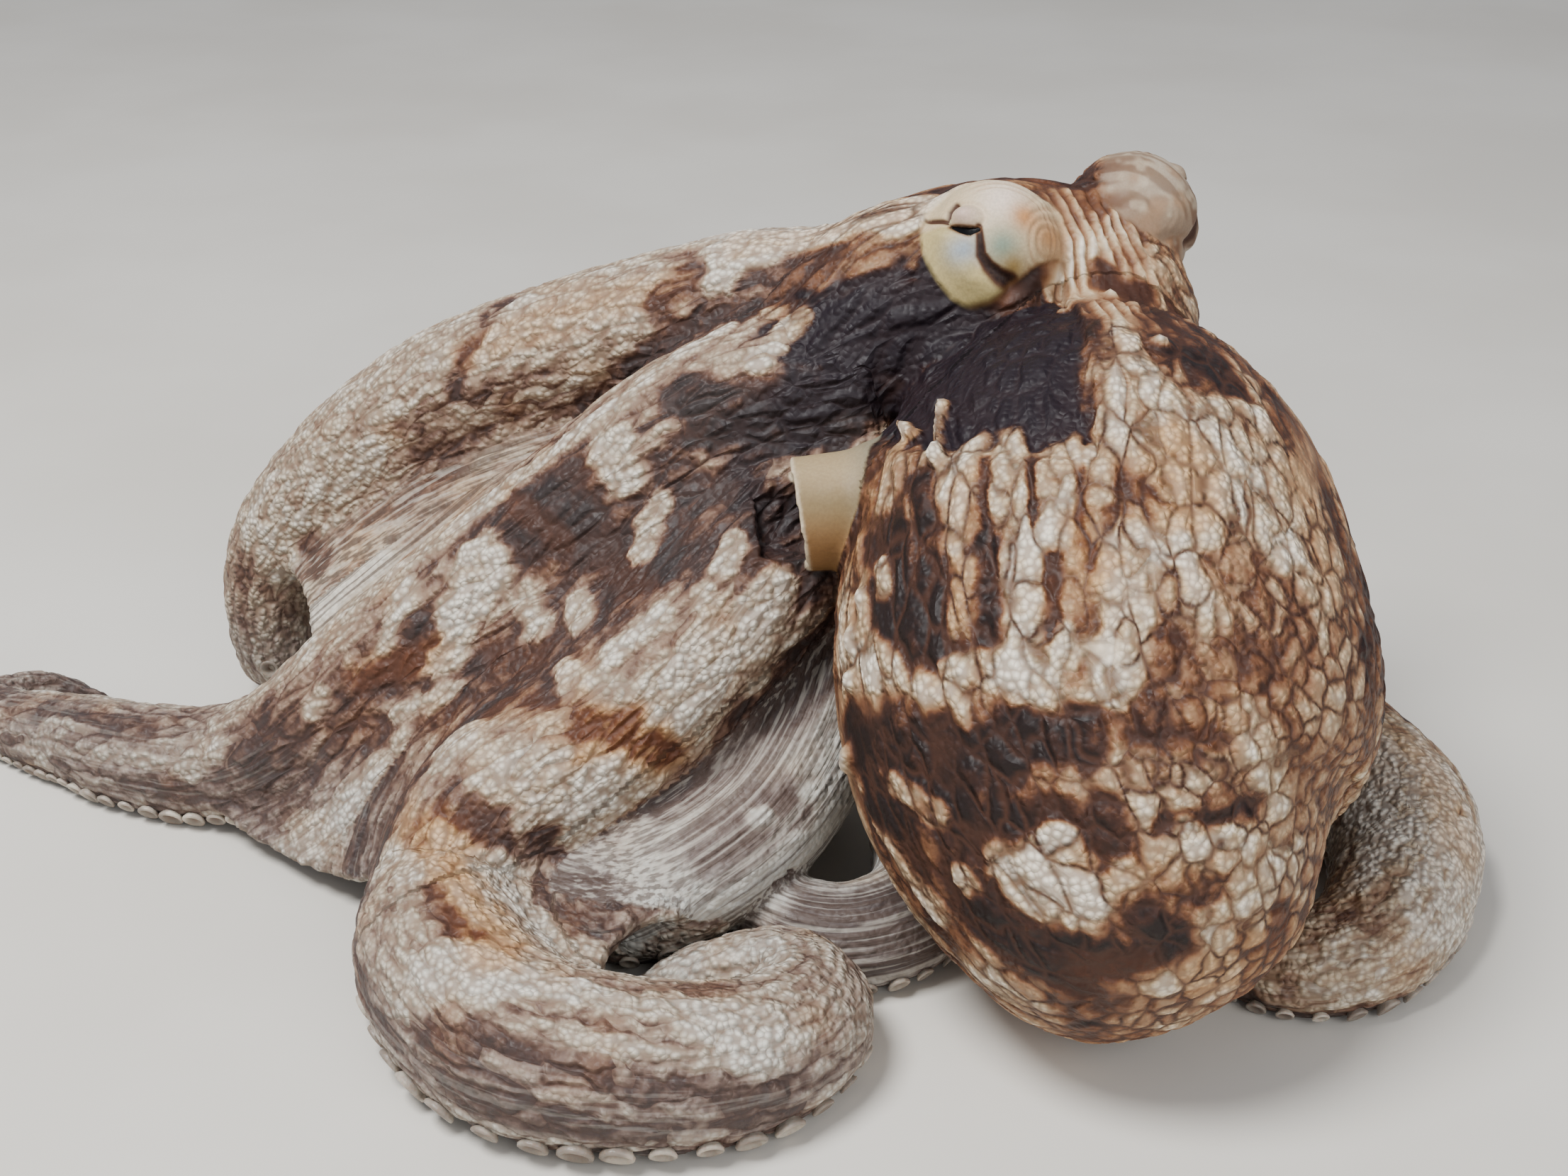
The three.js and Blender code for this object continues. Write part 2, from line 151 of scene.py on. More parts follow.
WEB_THICKNESS = 4.5
WEB_START = 0.04
WEBS = [
    {"arms": ("L1", "L2"), "reach": (205, 180), "lift": -12, "drop": 0, "scallop": 0.1, "ride": 2},
    {"arms": ("L2", "L3"), "reach": (215, 140), "lift": 6, "drop": 14, "scallop": 0, "ride": 7},
    {"arms": ("L3", "L4"), "reach": (245, 120), "lift": 4, "drop": 2, "scallop": 0.17, "ride": 3},
    {"arms": ("L4", "R4"), "reach": (80, 80), "lift": 0, "drop": 0, "scallop": 0.1, "ride": 3},
    {"arms": ("R4", "R3"), "reach": (85, 110), "lift": -4, "drop": 0, "scallop": 0.1, "ride": 4},
    {"arms": ("R3", "R2"), "reach": (130, 120), "lift": -4, "drop": 0, "scallop": 0.1, "ride": 4},
    {"arms": ("R2", "R1"), "reach": (110, 110), "lift": -4, "drop": 0, "scallop": 0.1, "ride": 4},
    {"arms": ("R1", "L1"), "reach": (110, 150), "lift": -8, "drop": 0, "scallop": 0.1, "ride": 2},
]

# ---- How the skin is made ----

VOXEL = 1.1
# Distances are kept this far to each side of every surface.
BAND = 11.0
GRID_LOW = np.array([-215.0, -145.0, -14.0])
GRID_HIGH = np.array([215.0, 145.0, 185.0])

# How softly parts run together: widely high in the tent, near the crown, and hardly on the floor.
BLEND_ON_FLOOR = 1.5
BLEND_IN_TENT = 9.0
TENT_REACH = (100, 200)
TENT_HEIGHTS = (8, 45)
EYE_BLEND = 4.0
FUNNEL_BLEND = 2.0

# The mesh is evened by pushing each point towards the middle of its neighbours and back, in turn.
EVENING_PUSHES = [0.5, -0.52]
EVENING_ROUNDS = 3
# What lies below this height is the flat underside, and stays on the floor.
UNDERSIDE_HEIGHT = 0.3

# The mesh is cut finer inside these radii.
FINE_ROUND_EYE = 23
FINE_ROUND_LIDS = 13
FINE_ROUND_FUNNEL = 19

# The skin's cells are this wide and stand out this far.
BODY_CELL = 5.6
ARM_CELL = 3.6
CELL_RELIEF = 0.5
# What follows a line counts only this much of each millimetre of its run, so that cells are drawn out:
# equally all along the arms, and less and less from the start of the body's lines to their end.
ARM_STRETCH = 0.34
BODY_STRETCH = (0.26, 0.76)
# The counts of one line and the next start this far apart. The arms of a set lie well apart themselves.
LINES_APART = 400
EVEN_ARMS = ("L1", "L3", "R4", "R2")
ODD_ARMS = ("L2", "L4", "R3", "R1")
HEAD_PARTS = ("head", "head_end", "eye_left", "eye_right", "crown")

# A sucker's radius is this share of its arm's, varies by this share of itself and has a smallest size.
SUCKER_SHARE = 0.2
SUCKER_VARIES = 0.15
SUCKER_SMALLEST = 0.55
# The rows start and end this far from the arm's ends. Each sucker is this many radii after the last.
SUCKER_START = 24
SUCKER_END = 5
SUCKER_STEP = 1.02
# Degrees between each row and the middle of the arm's underside, in the air and on the floor.
SUCKER_TURNS = (30, 57)
SUCKER_SIDES = 14
# How far each ring of a sucker is from its middle and out of the skin, as shares of its radius.
SUCKER_PROFILE = [(0.7, -0.35), (0.82, 0.1), (1.0, 0.35), (0.97, 0.52), (0.78, 0.55), (0.6, 0.36),
                  (0.34, 0.2), (0.1, 0.16)]

EYEBALL_SINKS = 1.4
# Where the eyeball looks out of its dome, right and up of the dome's middle.
EYEBALL_AIM = np.array([-7.9, 2.3])
EYEBALL_TILT = math.radians(-14)

# Lamps, sky and floor are in metres and watts: each lamp's place, size and power.
LAMPS = {
    "key": (np.array([-0.45, -0.3, 1.2]), 0.5, 23),
    "fill": (np.array([0.7, -1.1, 0.7]), 1.1, 10),
}
LAMPS_AIM = np.array([0, 0, 0.08])
SKY_COLOUR = (0.86, 0.9, 1.0, 1)
SKY_STRENGTH = 0.42
FLOOR_HALF = 6.0


# ---- The camera, which also places what is marked by a pixel of the photo ----

PHOTO_SIZE = (2212, 1659)
CAMERA_TARGET = np.array([29.0, -15.0, 80.0])
CAMERA_DISTANCE = 515
CAMERA_ELEVATION = math.radians(27)
LENS = 50
SENSOR = 36

SEEN_RIGHT = np.array([1.0, 0.0, 0.0])
SEEN_UP = np.array([0.0, math.sin(CAMERA_ELEVATION), math.cos(CAMERA_ELEVATION)])
SEEN_NEARER = np.array([0.0, -math.cos(CAMERA_ELEVATION), math.sin(CAMERA_ELEVATION)])
CAMERA_PLACE = CAMERA_TARGET + CAMERA_DISTANCE * SEEN_NEARER


# ---- Lines and sizes ----

def placed(points):
    return np.asarray(points, float) + LAYOUT_SHIFT


def unit(vectors):
    return vectors / np.maximum(np.linalg.norm(vectors, axis=-1, keepdims=True), 1e-9)


def looking_at(pixel):
    """The direction in which the camera sees a pixel of the photo."""
    focal = LENS / SENSOR * PHOTO_SIZE[0]
    right, down = pixel[0] - PHOTO_SIZE[0] / 2, pixel[1] - PHOTO_SIZE[1] / 2
    return unit(right * SEEN_RIGHT - down * SEEN_UP - focal * SEEN_NEARER)


def smooth(value, low, high):
    """0 up to low, 1 from high on, and an S-curve between."""
    share = np.clip((value - low) / (high - low), 0, 1)
    return share * share * (3 - 2 * share)


def ridge(distance, width):
    """1 at a line, and falling off to both sides."""
    return np.exp(-(distance / width) ** 2)


def wave(distance, spacing):
    return np.cos(distance * 2 * math.pi / spacing)


class Line:
    """A smooth line through control points, measured by its run from the start."""

    def __init__(self, path, steps=48):
        knots = placed(path)
        ends = np.vstack([2 * knots[0] - knots[1], knots, 2 * knots[-1] - knots[-2]])
        t = np.linspace(0, 1, steps, endpoint=False)[:, None]
        spans = []
        for a, b, c, d in zip(ends, ends[1:], ends[2:], ends[3:]):
            square = (2 * a - 5 * b + 4 * c - d) * t**2
            cube = (3 * b - a - 3 * c + d) * t**3
            spans.append((2 * b + (c - a) * t + square + cube) / 2)
        self.points = np.vstack([*spans, knots[-1:]])
        lengths = np.linalg.norm(np.diff(self.points, axis=0), axis=1)
        self.runs = np.concatenate([[0], np.cumsum(lengths)])
        self.length = self.runs[-1]

    def at(self, run):
        run = np.asarray(run, float)
        point = np.stack([np.interp(run, self.runs, self.points[:, axis]) for axis in range(3)], -1)
        past = run - np.clip(run, 0, self.length)
        return point + self.direction(run) * past[..., None]

    def direction(self, run):
        run = np.clip(run, 1.0, self.length - 1.0)
        ahead = [np.interp(run + 1, self.runs, self.points[:, axis]) for axis in range(3)]
        behind = [np.interp(run - 1, self.runs, self.points[:, axis]) for axis in range(3)]
        return unit(np.stack(ahead, -1) - np.stack(behind, -1))

    def frames(self, runs):
        """Centre, direction and two sideways directions that don't twist, at increasing runs."""
        centres = self.at(runs)
        ahead = self.direction(runs)
        side = np.empty_like(ahead)
        last = np.cross(ahead[0], [0.0, 0.0, 1.0])
        for i, direction in enumerate(ahead):
            last = unit(last - direction * (last @ direction))
            side[i] = last
        return centres, ahead, side, np.cross(ahead, side)


def stepped_radius(radii, length, run):
    return np.interp(run, np.linspace(0, length, len(radii)), radii)


def mantle_half_width(share):
    towards_tip = share > MANTLE_WIDEST
    away = np.where(towards_tip, (share - MANTLE_WIDEST) / (1 - MANTLE_WIDEST), 1 - share / MANTLE_WIDEST)
    power = np.where(towards_tip, MANTLE_END, MANTLE_SHOULDER)
    return MANTLE_WIDTH / 2 * np.clip(1 - away**power, 0, 1) ** (1 / power)


def arm_radius(arm, length, run):
    share = np.clip(run / length, 0, 1)
    root = ARM_ROOT_SHARE + (1 - ARM_ROOT_SHARE) * smooth(run, 0, ARM_ROOT_RUN)
    return (ARM_TIP_RADIUS + (arm["radius"] - ARM_TIP_RADIUS) * (1 - share ** arm["taper"])) * root


arm_lines = {name: Line(arm["path"]) for name, arm in ARMS.items()}
mantle_line = Line(MANTLE_PATH)
head_line = Line(HEAD_PATH)
funnel_line = Line(FUNNEL_PATH)


# ---- Distance fields: each solid is an array of distances in its own corner of one grid ----

grid_transform = openvdb.createLinearTransform(voxelSize=VOXEL)
grid_start = np.floor(GRID_LOW / VOXEL).astype(int)
grid_shape = np.ceil(GRID_HIGH / VOXEL).astype(int) - grid_start + 1


class Field:
    """Signed distances on part of the grid, from the grid index start on."""

    def __init__(self, start, values):
        low = np.maximum(start, grid_start)
        high = np.minimum(start + values.shape, grid_start + grid_shape)
        cut = tuple(slice(a, b) for a, b in zip(low - start, high - start))
        self.start = low
        self.values = values[cut]

    def window(self):
        low = self.start - grid_start
        return tuple(slice(a, a + n) for a, n in zip(low, self.values.shape))

    def coordinates(self):
        axes = [(self.start[i] + np.arange(self.values.shape[i])) * VOXEL for i in range(3)]
        return np.meshgrid(*axes, indexing="ij", sparse=True)

    def at(self, points):
        """The distance at each point, far outside where this part of the grid doesn't reach."""
        place = points / VOXEL - self.start
        cell = np.floor(place).astype(int)
        inside = np.all((cell >= 0) & (cell < np.array(self.values.shape) - 1), axis=1)
        result = np.full(len(points), BAND)
        cell, part = cell[inside], (place - cell)[inside]
        total = 0
        for corner in np.ndindex(2, 2, 2):
            weight = np.prod(np.where(corner, part, 1 - part), axis=1)
            total = total + weight * self.values[tuple((cell + corner).T)]
        result[inside] = total
        return result


def field_of_mesh(points, quads):
    vdb = openvdb.FloatGrid.createLevelSetFromPolygons(
        np.ascontiguousarray(points, np.float32),
        quads=np.ascontiguousarray(quads, np.uint32),
        transform=grid_transform,
        halfWidth=BAND / VOXEL,
    )
    low, high = (np.array(corner) for corner in vdb.evalActiveVoxelBoundingBox())
    values = np.empty(high - low + 1, np.float32)
    vdb.copyToArray(values, ijk=tuple(int(i) for i in low))
    return Field(low, values)


def field_of_ellipsoid(centre, radii):
    centre, radii = placed(centre), np.asarray(radii, float)
    low = np.floor((centre - radii - BAND) / VOXEL).astype(int)
    high = np.ceil((centre + radii + BAND) / VOXEL).astype(int)
    field = Field(low, np.zeros(high - low + 1, np.float32))
    x, y, z = (c - centre[i] for i, c in enumerate(field.coordinates()))
    near = np.sqrt((x / radii[0]) ** 2 + (y / radii[1]) ** 2 + (z / radii[2]) ** 2)
    slope = np.sqrt((x / radii[0] ** 2) ** 2 + (y / radii[1] ** 2) ** 2 + (z / radii[2] ** 2) ** 2)
    field.values = np.clip(near * (near - 1) / np.maximum(slope, 1e-6), -BAND, BAND).astype(np.float32)
    return field


def wall_quads(rings, sides):
    """Quads between rings of points that lie one after the other."""
    ring, side = np.meshgrid(np.arange(rings - 1), np.arange(sides), indexing="ij")
    after = (side + 1) % sides
    a, b = ring * sides + side, ring * sides + after
    return np.stack([a, b, b + sides, a + sides], -1).reshape(-1, 4)


def tube_quads(rings, sides):
    """The walls of a tube, and a fan of doubled-up quads over each end."""
    side = np.arange(sides)
    after = (side + 1) % sides
    last = (rings - 1) * sides
    middle = np.full(sides, rings * sides)
    start = np.stack([middle, after, side, side], -1)
    end = np.stack([middle + 1, last + side, last + after, last + after], -1)
    return np.vstack([wall_quads(rings, sides), start, end])


def tube_mesh(line, runs, radii, sides=40):
    centres, _, side, up = line.frames(runs)
    angle = np.arange(sides) / sides * 2 * math.pi
    across = np.cos(angle)[None, :, None] * side[:, None] + np.sin(angle)[None, :, None] * up[:, None]
    rings = centres[:, None] + across * np.asarray(radii)[:, None, None]
    points = np.vstack([rings.reshape(-1, 3), centres[:1], centres[-1:]])
    return points, tube_quads(len(runs), sides)


def tube_field(line, radius_at, step=2.0, low=0.0, high=None):
    high = line.length if high is None else high
    runs = np.linspace(low, high, max(8, int((high - low) / step)))
    return field_of_mesh(*tube_mesh(line, runs, radius_at(runs)))


def web_points(web, rows=36, columns=24):
    """The middle surface of a web, row by row outwards from the crown, and the way out of the tent there."""
    lines = [arm_lines[name] for name in web["arms"]]
    across = np.linspace(0, 1, columns + 1)[None, :]
    middle = 4 * across * (1 - across)
    row = np.linspace(0, 1, rows + 1)[:, None]
    out = WEB_START + (1 - web["scallop"] * middle - WEB_START) * row
    ends = [line.at(out * reach) for line, reach in zip(lines, web["reach"])]
    points = ends[0] + (ends[1] - ends[0]) * across[..., None]
    points[..., 2] += web["lift"] * middle * np.sin(math.pi * out) - web["drop"] * middle * out**4
    outward = unit(np.cross(np.gradient(points, axis=0), np.gradient(points, axis=1)))
    return points + outward * web["ride"], outward


def sheet_field(points, outward, thickness):
    rows, columns = points.shape[:2]
    faces = np.concatenate([points + outward * thickness / 2, points - outward * thickness / 2])
    number = np.arange(rows * columns).reshape(rows, columns)
    a, b, c, d = number[:-1, :-1], number[:-1, 1:], number[1:, 1:], number[1:, :-1]
    top = np.stack([a, b, c, d], -1).reshape(-1, 4)
    under = (top + rows * columns)[:, ::-1]
    rim = np.concatenate([number[0, :], number[1:, -1], number[-1, -2::-1], number[-2:0:-1, 0]])
    after = np.roll(rim, -1)
    edge = np.stack([after, rim, rim + rows * columns, after + rows * columns], -1)
    return field_of_mesh(faces.reshape(-1, 3), np.vstack([top, under, edge]))


def mantle_field(rings=90, sides=120):
    """The mantle, from rings that lie closer together towards both of its ends."""
    share = (1 - np.cos(math.pi * (np.arange(rings) + 0.5) / rings)) / 2
    radii = mantle_half_width(share)
    return field_of_mesh(*tube_mesh(mantle_line, share * mantle_line.length, radii, sides))


def into_neck(x, y, z):
    """How far a place is inside the space where the mantle leaves the neck bare."""
    edge = placed(NECK_EDGE)
    slope = math.radians(NECK_SLOPE)
    above = (y - edge[1]) * math.sin(slope) + (z - edge[2]) * math.cos(slope)
    return np.minimum(edge[0] - x, above)


def head_field(rings=40):
    runs = np.linspace(0, head_line.length, rings)
    return field_of_mesh(*tube_mesh(head_line, runs, stepped_radius(HEAD_RADII, head_line.length, runs)))


def funnel_fields():
    """The funnel's outside, cut off at its rim, and its bore."""
    length = funnel_line.length

    def outside(run):
        return stepped_radius(FUNNEL_RADII, length, run)

    def inside(run):
        return outside(run) - FUNNEL_WALL

    tube = tube_field(funnel_line, outside, step=1.0, high=length + FUNNEL_LIP)
    tube.values = np.maximum(tube.values, past_rim(tube))
    past_lip = length + 2 * FUNNEL_LIP
    bore = tube_field(funnel_line, inside, step=1.0, low=length - FUNNEL_DEPTH, high=past_lip)
    return tube, bore


def rim_direction():
    """The way out of the plane in which the camera sees the edge of the funnel's rim."""
    top, bottom = (looking_at(pixel) for pixel in FUNNEL_RIM)
    return unit(np.cross(top, bottom))


def past_rim(field):
    """How far each place of a field is past the plane of the funnel's rim."""
    out = rim_direction()
    x, y, z = (places - start for places, start in zip(field.coordinates(), CAMERA_PLACE))
    return (x * out[0] + y * out[1] + z * out[2]).astype(np.float32)


def blend_width():
    """How softly neighbours run together at each place."""
    x, y, z = Field(grid_start, np.empty(grid_shape, np.uint8)).coordinates()
    centre = placed(CROWN_CENTRE)
    away = np.sqrt((x - centre[0]) ** 2 + (y - centre[1]) ** 2 + (z - centre[2]) ** 2)
    in_tent = (1 - smooth(away, *TENT_REACH)) * smooth(z, *TENT_HEIGHTS)
    return (BLEND_ON_FLOOR + (BLEND_IN_TENT - BLEND_ON_FLOOR) * in_tent).astype(np.float32)


def body_field():
    """The distance field of the whole body, and those of its named parts."""
    total = np.full(grid_shape, BAND, np.float32)
    soft = blend_width()
    parts = {}

    def join(name, field, width=None):
        parts[name] = field
        window = field.window()
        old, new = total[window], field.values
        k = soft[window] if width is None else width
        near = np.maximum(k - np.abs(old - new), 0) / k
        total[window] = np.minimum(old, new) - near * near * k / 4

    join("crown", field_of_ellipsoid(CROWN_CENTRE, CROWN_RADII))
    join("head", head_field())
    join("head_end", field_of_ellipsoid(HEAD_PATH[-1], [HEAD_RADII[-1]] * 3))
    for name, arm in ARMS.items():
        line = arm_lines[name]
        join(name, tube_field(line, lambda run: arm_radius(arm, line.length, run)))
    for web in WEBS:
        points, outward = web_points(web)
        join("_".join(web["arms"]), sheet_field(points, outward, WEB_THICKNESS))
    for name, eye in EYES.items():
        join(name, field_of_ellipsoid(eye["centre"], [EYE_BULGE_RADIUS] * 3), EYE_BLEND)

    funnel, bore = funnel_fields()
    join("funnel", funnel, FUNNEL_BLEND)
    window = bore.window()
    total[window] = np.maximum(total[window], -bore.values)

    mantle = mantle_field()
    bare = into_neck(*mantle.coordinates())
    mantle.values = mantle.values + NECK_DEPTH * smooth(bare, -NECK_STEP, NECK_STEP).astype(np.float32)
    low, high = NECK_HEIGHTS
    at_neck = smooth(mantle.coordinates()[2], low, high)
    join("mantle", mantle, (EDGE_BLEND + (NECK_BLEND - EDGE_BLEND) * at_neck).astype(np.float32))

    height = (grid_start[2] + np.arange(grid_shape[2])) * VOXEL
    total = np.maximum(total, -height.astype(np.float32))
    return Field(grid_start, total), parts


def seen_at(pixel):
    """The place on the skin that the photo shows at a pixel."""
    hit, place, _, _ = skin.ray_cast(Vector(CAMERA_PLACE * MM), Vector(looking_at(pixel)))
    return np.array(place) / MM if hit else None


# ---- The skin's mesh ----

def mesh_of(name, points, faces):
    """A smooth-shaded mesh, from points in millimetres and faces that all have as many sides."""
    sides = faces.shape[1]
    mesh = bpy.data.meshes.new(name)
    mesh.vertices.add(len(points))
    mesh.vertices.foreach_set("co", (points * MM).astype(np.float32).ravel())
    mesh.loops.add(faces.size)
    mesh.loops.foreach_set("vertex_index", faces.astype(np.int32).ravel())
    mesh.polygons.add(len(faces))
    mesh.polygons.foreach_set("loop_start", np.arange(len(faces), dtype=np.int32) * sides)
    mesh.update(calc_edges=True)
    mesh.shade_smooth()
    return mesh


def piece(name, mesh):
    made = bpy.data.objects.new(name, mesh)
    bpy.context.scene.collection.objects.link(made)
    return made


def read(items, name, width=3, kind=np.float32):
    values = np.empty(len(items) * width, kind)
    items.foreach_get(name, values)
    return values.reshape(-1, width)


def points_of(mesh):
    return read(mesh.vertices, "co").astype(float) / MM


def normals_of(mesh):
    return read(mesh.vertices, "normal").astype(float)


def move(mesh, points):
    mesh.vertices.foreach_set("co", (points * MM).astype(np.float32).ravel())
    mesh.update()


def evened(mesh, where=None):
    """Takes the small steps of the grid out of the mesh without shrinking it."""
    edges = read(mesh.edges, "vertices", 2, np.int32)
    count = np.bincount(edges.ravel(), minlength=len(mesh.vertices))[:, None]
    points = points_of(mesh)
    flat = points[:, 2] < UNDERSIDE_HEIGHT
    for push in EVENING_PUSHES * EVENING_ROUNDS:
        total = np.stack([
            np.bincount(edges[:, 0], points[edges[:, 1], axis], len(points))
            + np.bincount(edges[:, 1], points[edges[:, 0], axis], len(points))
            for axis in range(3)
        ], -1)
        change = push * (total / count - points)
        change[flat, 2] = 0
        if where is not None:
            change[~where] = 0
        points = points + change
    points[:, 2] = np.where(flat, 0, np.maximum(points[:, 2], 0))
    move(mesh, points)


def refine(mesh, centre, radius):
    """Cuts each face inside a ball into four."""
    bm = bmesh.new()
    bm.from_mesh(mesh)
    centre = Vector(centre * MM)
    inside = {v for v in bm.verts if (v.co - centre).length < radius * MM}
    edges = [e for e in bm.edges if e.verts[0] in inside and e.verts[1] in inside]
    bmesh.ops.subdivide_edges(bm, edges=edges, cuts=1, use_grid_fill=True)
    bm.to_mesh(mesh)
    bm.free()
    near = np.linalg.norm(points_of(mesh) - np.array(centre) / MM, axis=1) < radius
    evened(mesh, near)


def skin_mesh():
    grid = openvdb.FloatGrid(BAND)
    grid.copyFromArray(body.values, ijk=tuple(int(i) for i in body.start))
    grid.transform = grid_transform
    grid.gridClass = openvdb.GridClass.LEVEL_SET
    points, quads = grid.convertToQuads(isovalue=0.0)
    mesh = mesh_of("skin", points.astype(float), quads[:, ::-1])
    evened(mesh)
    for eye in EYES.values():
        centre = placed(eye["centre"])
        gaze = unit(np.array(eye["gaze"]))
        refine(mesh, centre, FINE_ROUND_EYE)
        refine(mesh, centre + gaze * EYE_BULGE_RADIUS, FINE_ROUND_LIDS)
    refine(mesh, placed(FUNNEL_PATH[-1]), FINE_ROUND_FUNNEL)
    return mesh


# ---- Where a point of the skin is ----

def arm_stretch(share):
    return np.full_like(share, ARM_STRETCH)


def body_stretch(share):
    low, high = BODY_STRETCH
    return low + (high - low) * share


class Flow:
    """Coordinates that follow lines: the run along the nearest one, and the two ways across it."""

    def __init__(self, lines, stretch=arm_stretch):
        frames, drawn_out, runs = [], [], []
        for number, line in enumerate(lines):
            run = np.arange(0, line.length, 1.0)
            frames.append(line.frames(run))
            drawn_out.append(number * LINES_APART + np.cumsum(stretch(run / line.length)))
            runs.append(run)
        self.centres, *self.axes = (np.vstack(column) for column in zip(*frames))
        self.drawn_out = np.concatenate(drawn_out)
        self.runs = np.concatenate(runs)
        self.number = np.repeat(np.arange(len(lines)), [len(run) for run in runs])
        self.tree = KDTree(len(self.centres))
        for index, centre in enumerate(self.centres):
            self.tree.insert(centre, index)
        self.tree.balance()

    def at(self, points):
        """The coordinates of points, and the distance, number and run of the line nearest to each."""
        find = self.tree.find
        index = np.fromiter((find(point)[1] for point in points), int, len(points))
        away = points - self.centres[index]
        ahead, side, up = (np.einsum("ij,ij->i", away, axis[index]) for axis in self.axes)
        place = np.stack([self.drawn_out[index] + ahead * ARM_STRETCH, side, up], -1)
        return place, np.linalg.norm(away, axis=1), self.number[index], self.runs[index] + ahead


def noise(points, size, seed=0):
    """Smooth values from -1 to 1 that change over about this size.

    The whole numbers in it mix the numbers of a grid cell's corner into one that looks random."""
    place = points / size + seed * 31.7
    cell = np.floor(place).astype(np.int64)
    part = place - cell
    part = part * part * (3 - 2 * part)
    total = 0
    for corner in np.ndindex(2, 2, 2):
        x, y, z = (cell + corner).T
        key = (x * 73856093 ^ y * 19349663 ^ z * 83492791) & 0xFFFFFFFF
        key = (key ^ key >> 15) * 2246822519 & 0xFFFFFFFF
        key = (key ^ key >> 13) * 3266489917 & 0xFFFFFFFF
        weight = np.prod(np.where(corner, part, 1 - part), axis=1)
        total = total + weight * ((key >> 8 & 0xFFFF) / 32767.5 - 1)
    return total


def from_path(places, path):
    """Each place's distance from a path of straight pieces, and how far along it, from 0 to 1."""
    path = np.asarray(path, float)
    best = np.full(len(places), 1e9)
    share = np.zeros(len(places))
    pieces = max(len(path) - 1, 1)
    for number in range(pieces):
        start, end = path[number], path[min(number + 1, len(path) - 1)]
        step = end - start
        along = np.clip((places - start) @ step / max(step @ step, 1e-9), 0, 1)
        distance = np.linalg.norm(places - start - along[:, None] * step, axis=1)
        closer = distance < best
        best = np.where(closer, distance, best)
        share = np.where(closer, (number + along) / pieces, share)
    return best, share


class Places:
    """What the skin is at each of its points: which part, how far along it, and where across."""

    def __init__(self, mesh):
        self.points = points_of(mesh)
        self.normals = normals_of(mesh)
        self.height = self.points[:, 2]
        self.follow_lines()
        self.find_parts()
        self.find_head()
        self.find_streaks()

    def follow_lines(self):
        """Coordinates along two sets of arms, whose members lie well apart, and along the body."""
        even_lines, odd_lines = ([arm_lines[name] for name in names] for names in (EVEN_ARMS, ODD_ARMS))
        self.even, from_even, even_arm, even_run = Flow(even_lines).at(self.points)
        self.odd, from_odd, odd_arm, odd_run = Flow(odd_lines).at(self.points)
        self.body = Flow([mantle_line, head_line], body_stretch).at(self.points)[0]
        self.odd_share = smooth(from_even - from_odd, -7, 7)
        odd = self.odd_share > 0.5
        self.arm = np.where(odd, np.array(ODD_ARMS)[odd_arm], np.array(EVEN_ARMS)[even_arm])
        self.run = np.where(odd, odd_run, even_run)
        self.flow = np.where(odd[:, None], self.odd, self.even)

    def find_parts(self):
        """How far each point is part of the mantle, the funnel, the body and the valley between two arms."""
        near = {name: field.at(self.points) for name, field in parts.items()}
        from_head = np.min([near[name] for name in HEAD_PARTS], axis=0)
        from_arms = np.min([near[name] for name in near if name[0] in "LR"], axis=0)
        from_body = np.minimum(from_head, near["mantle"])
        self.mantle = smooth(np.minimum(from_head, from_arms) - near["mantle"], 0, 1.5)
        self.body_share = smooth(from_arms - from_body, -2, 5)
        self.funnel = smooth(np.minimum(from_arms, from_body) - near["funnel"], 0, 1.0)
        rough = 3.0 * noise(self.body * [0.3, 1, 1], 4.5, seed=1)
        self.bare_neck = smooth(into_neck(*self.points.T) + rough, 0, 3)
        from_crests = np.minimum(near["L1"], near["L2"])
        self.valley = smooth(from_crests - near["L1_L2"], 1, 7) * smooth(self.run, 60, 110)

    def find_head(self):
        """The eyes, and the folds of the neck between them."""
        self.eyes = {name: eye_places(self.points, name) for name in EYES}
        self.on_eyes = np.max([on_dome for _, on_dome in self.eyes.values()], axis=0)
        from_folds, _ = from_path(self.points, [seen_at(pixel) for pixel in NECK_FOLDS])
        self.head_top = (1 - smooth(from_folds, 9, 16)) * (1 - self.on_eyes)
        across = self.points @ (SEEN_RIGHT + FOLD_LEAN * SEEN_UP)
        across = across + 1.2 * noise(self.points, 9, seed=14) + 0.7 * noise(self.points, 4, seed=18)
        bold = 0.65 + 0.75 * noise(self.points, 6, seed=15)
        self.folds = wave(across, FOLD_SPACING) * bold

    def find_streaks(self):
        """Where fine lines run along the arms: on the inner arms, in the valley, and faintly low down."""
        self.low = 1 - smooth(self.height, 14, 40)
        self.inner_arms = np.isin(self.arm, ("L4", "R4"))
        lines = np.where(self.inner_arms, 0.9, 0.35 * self.low) + 1.1 * self.valley
        self.lines = np.clip(lines, 0, 1) * (1 - self.body_share)


# ---- The markings of the skin, each by the pixels of the photo that it runs between ----

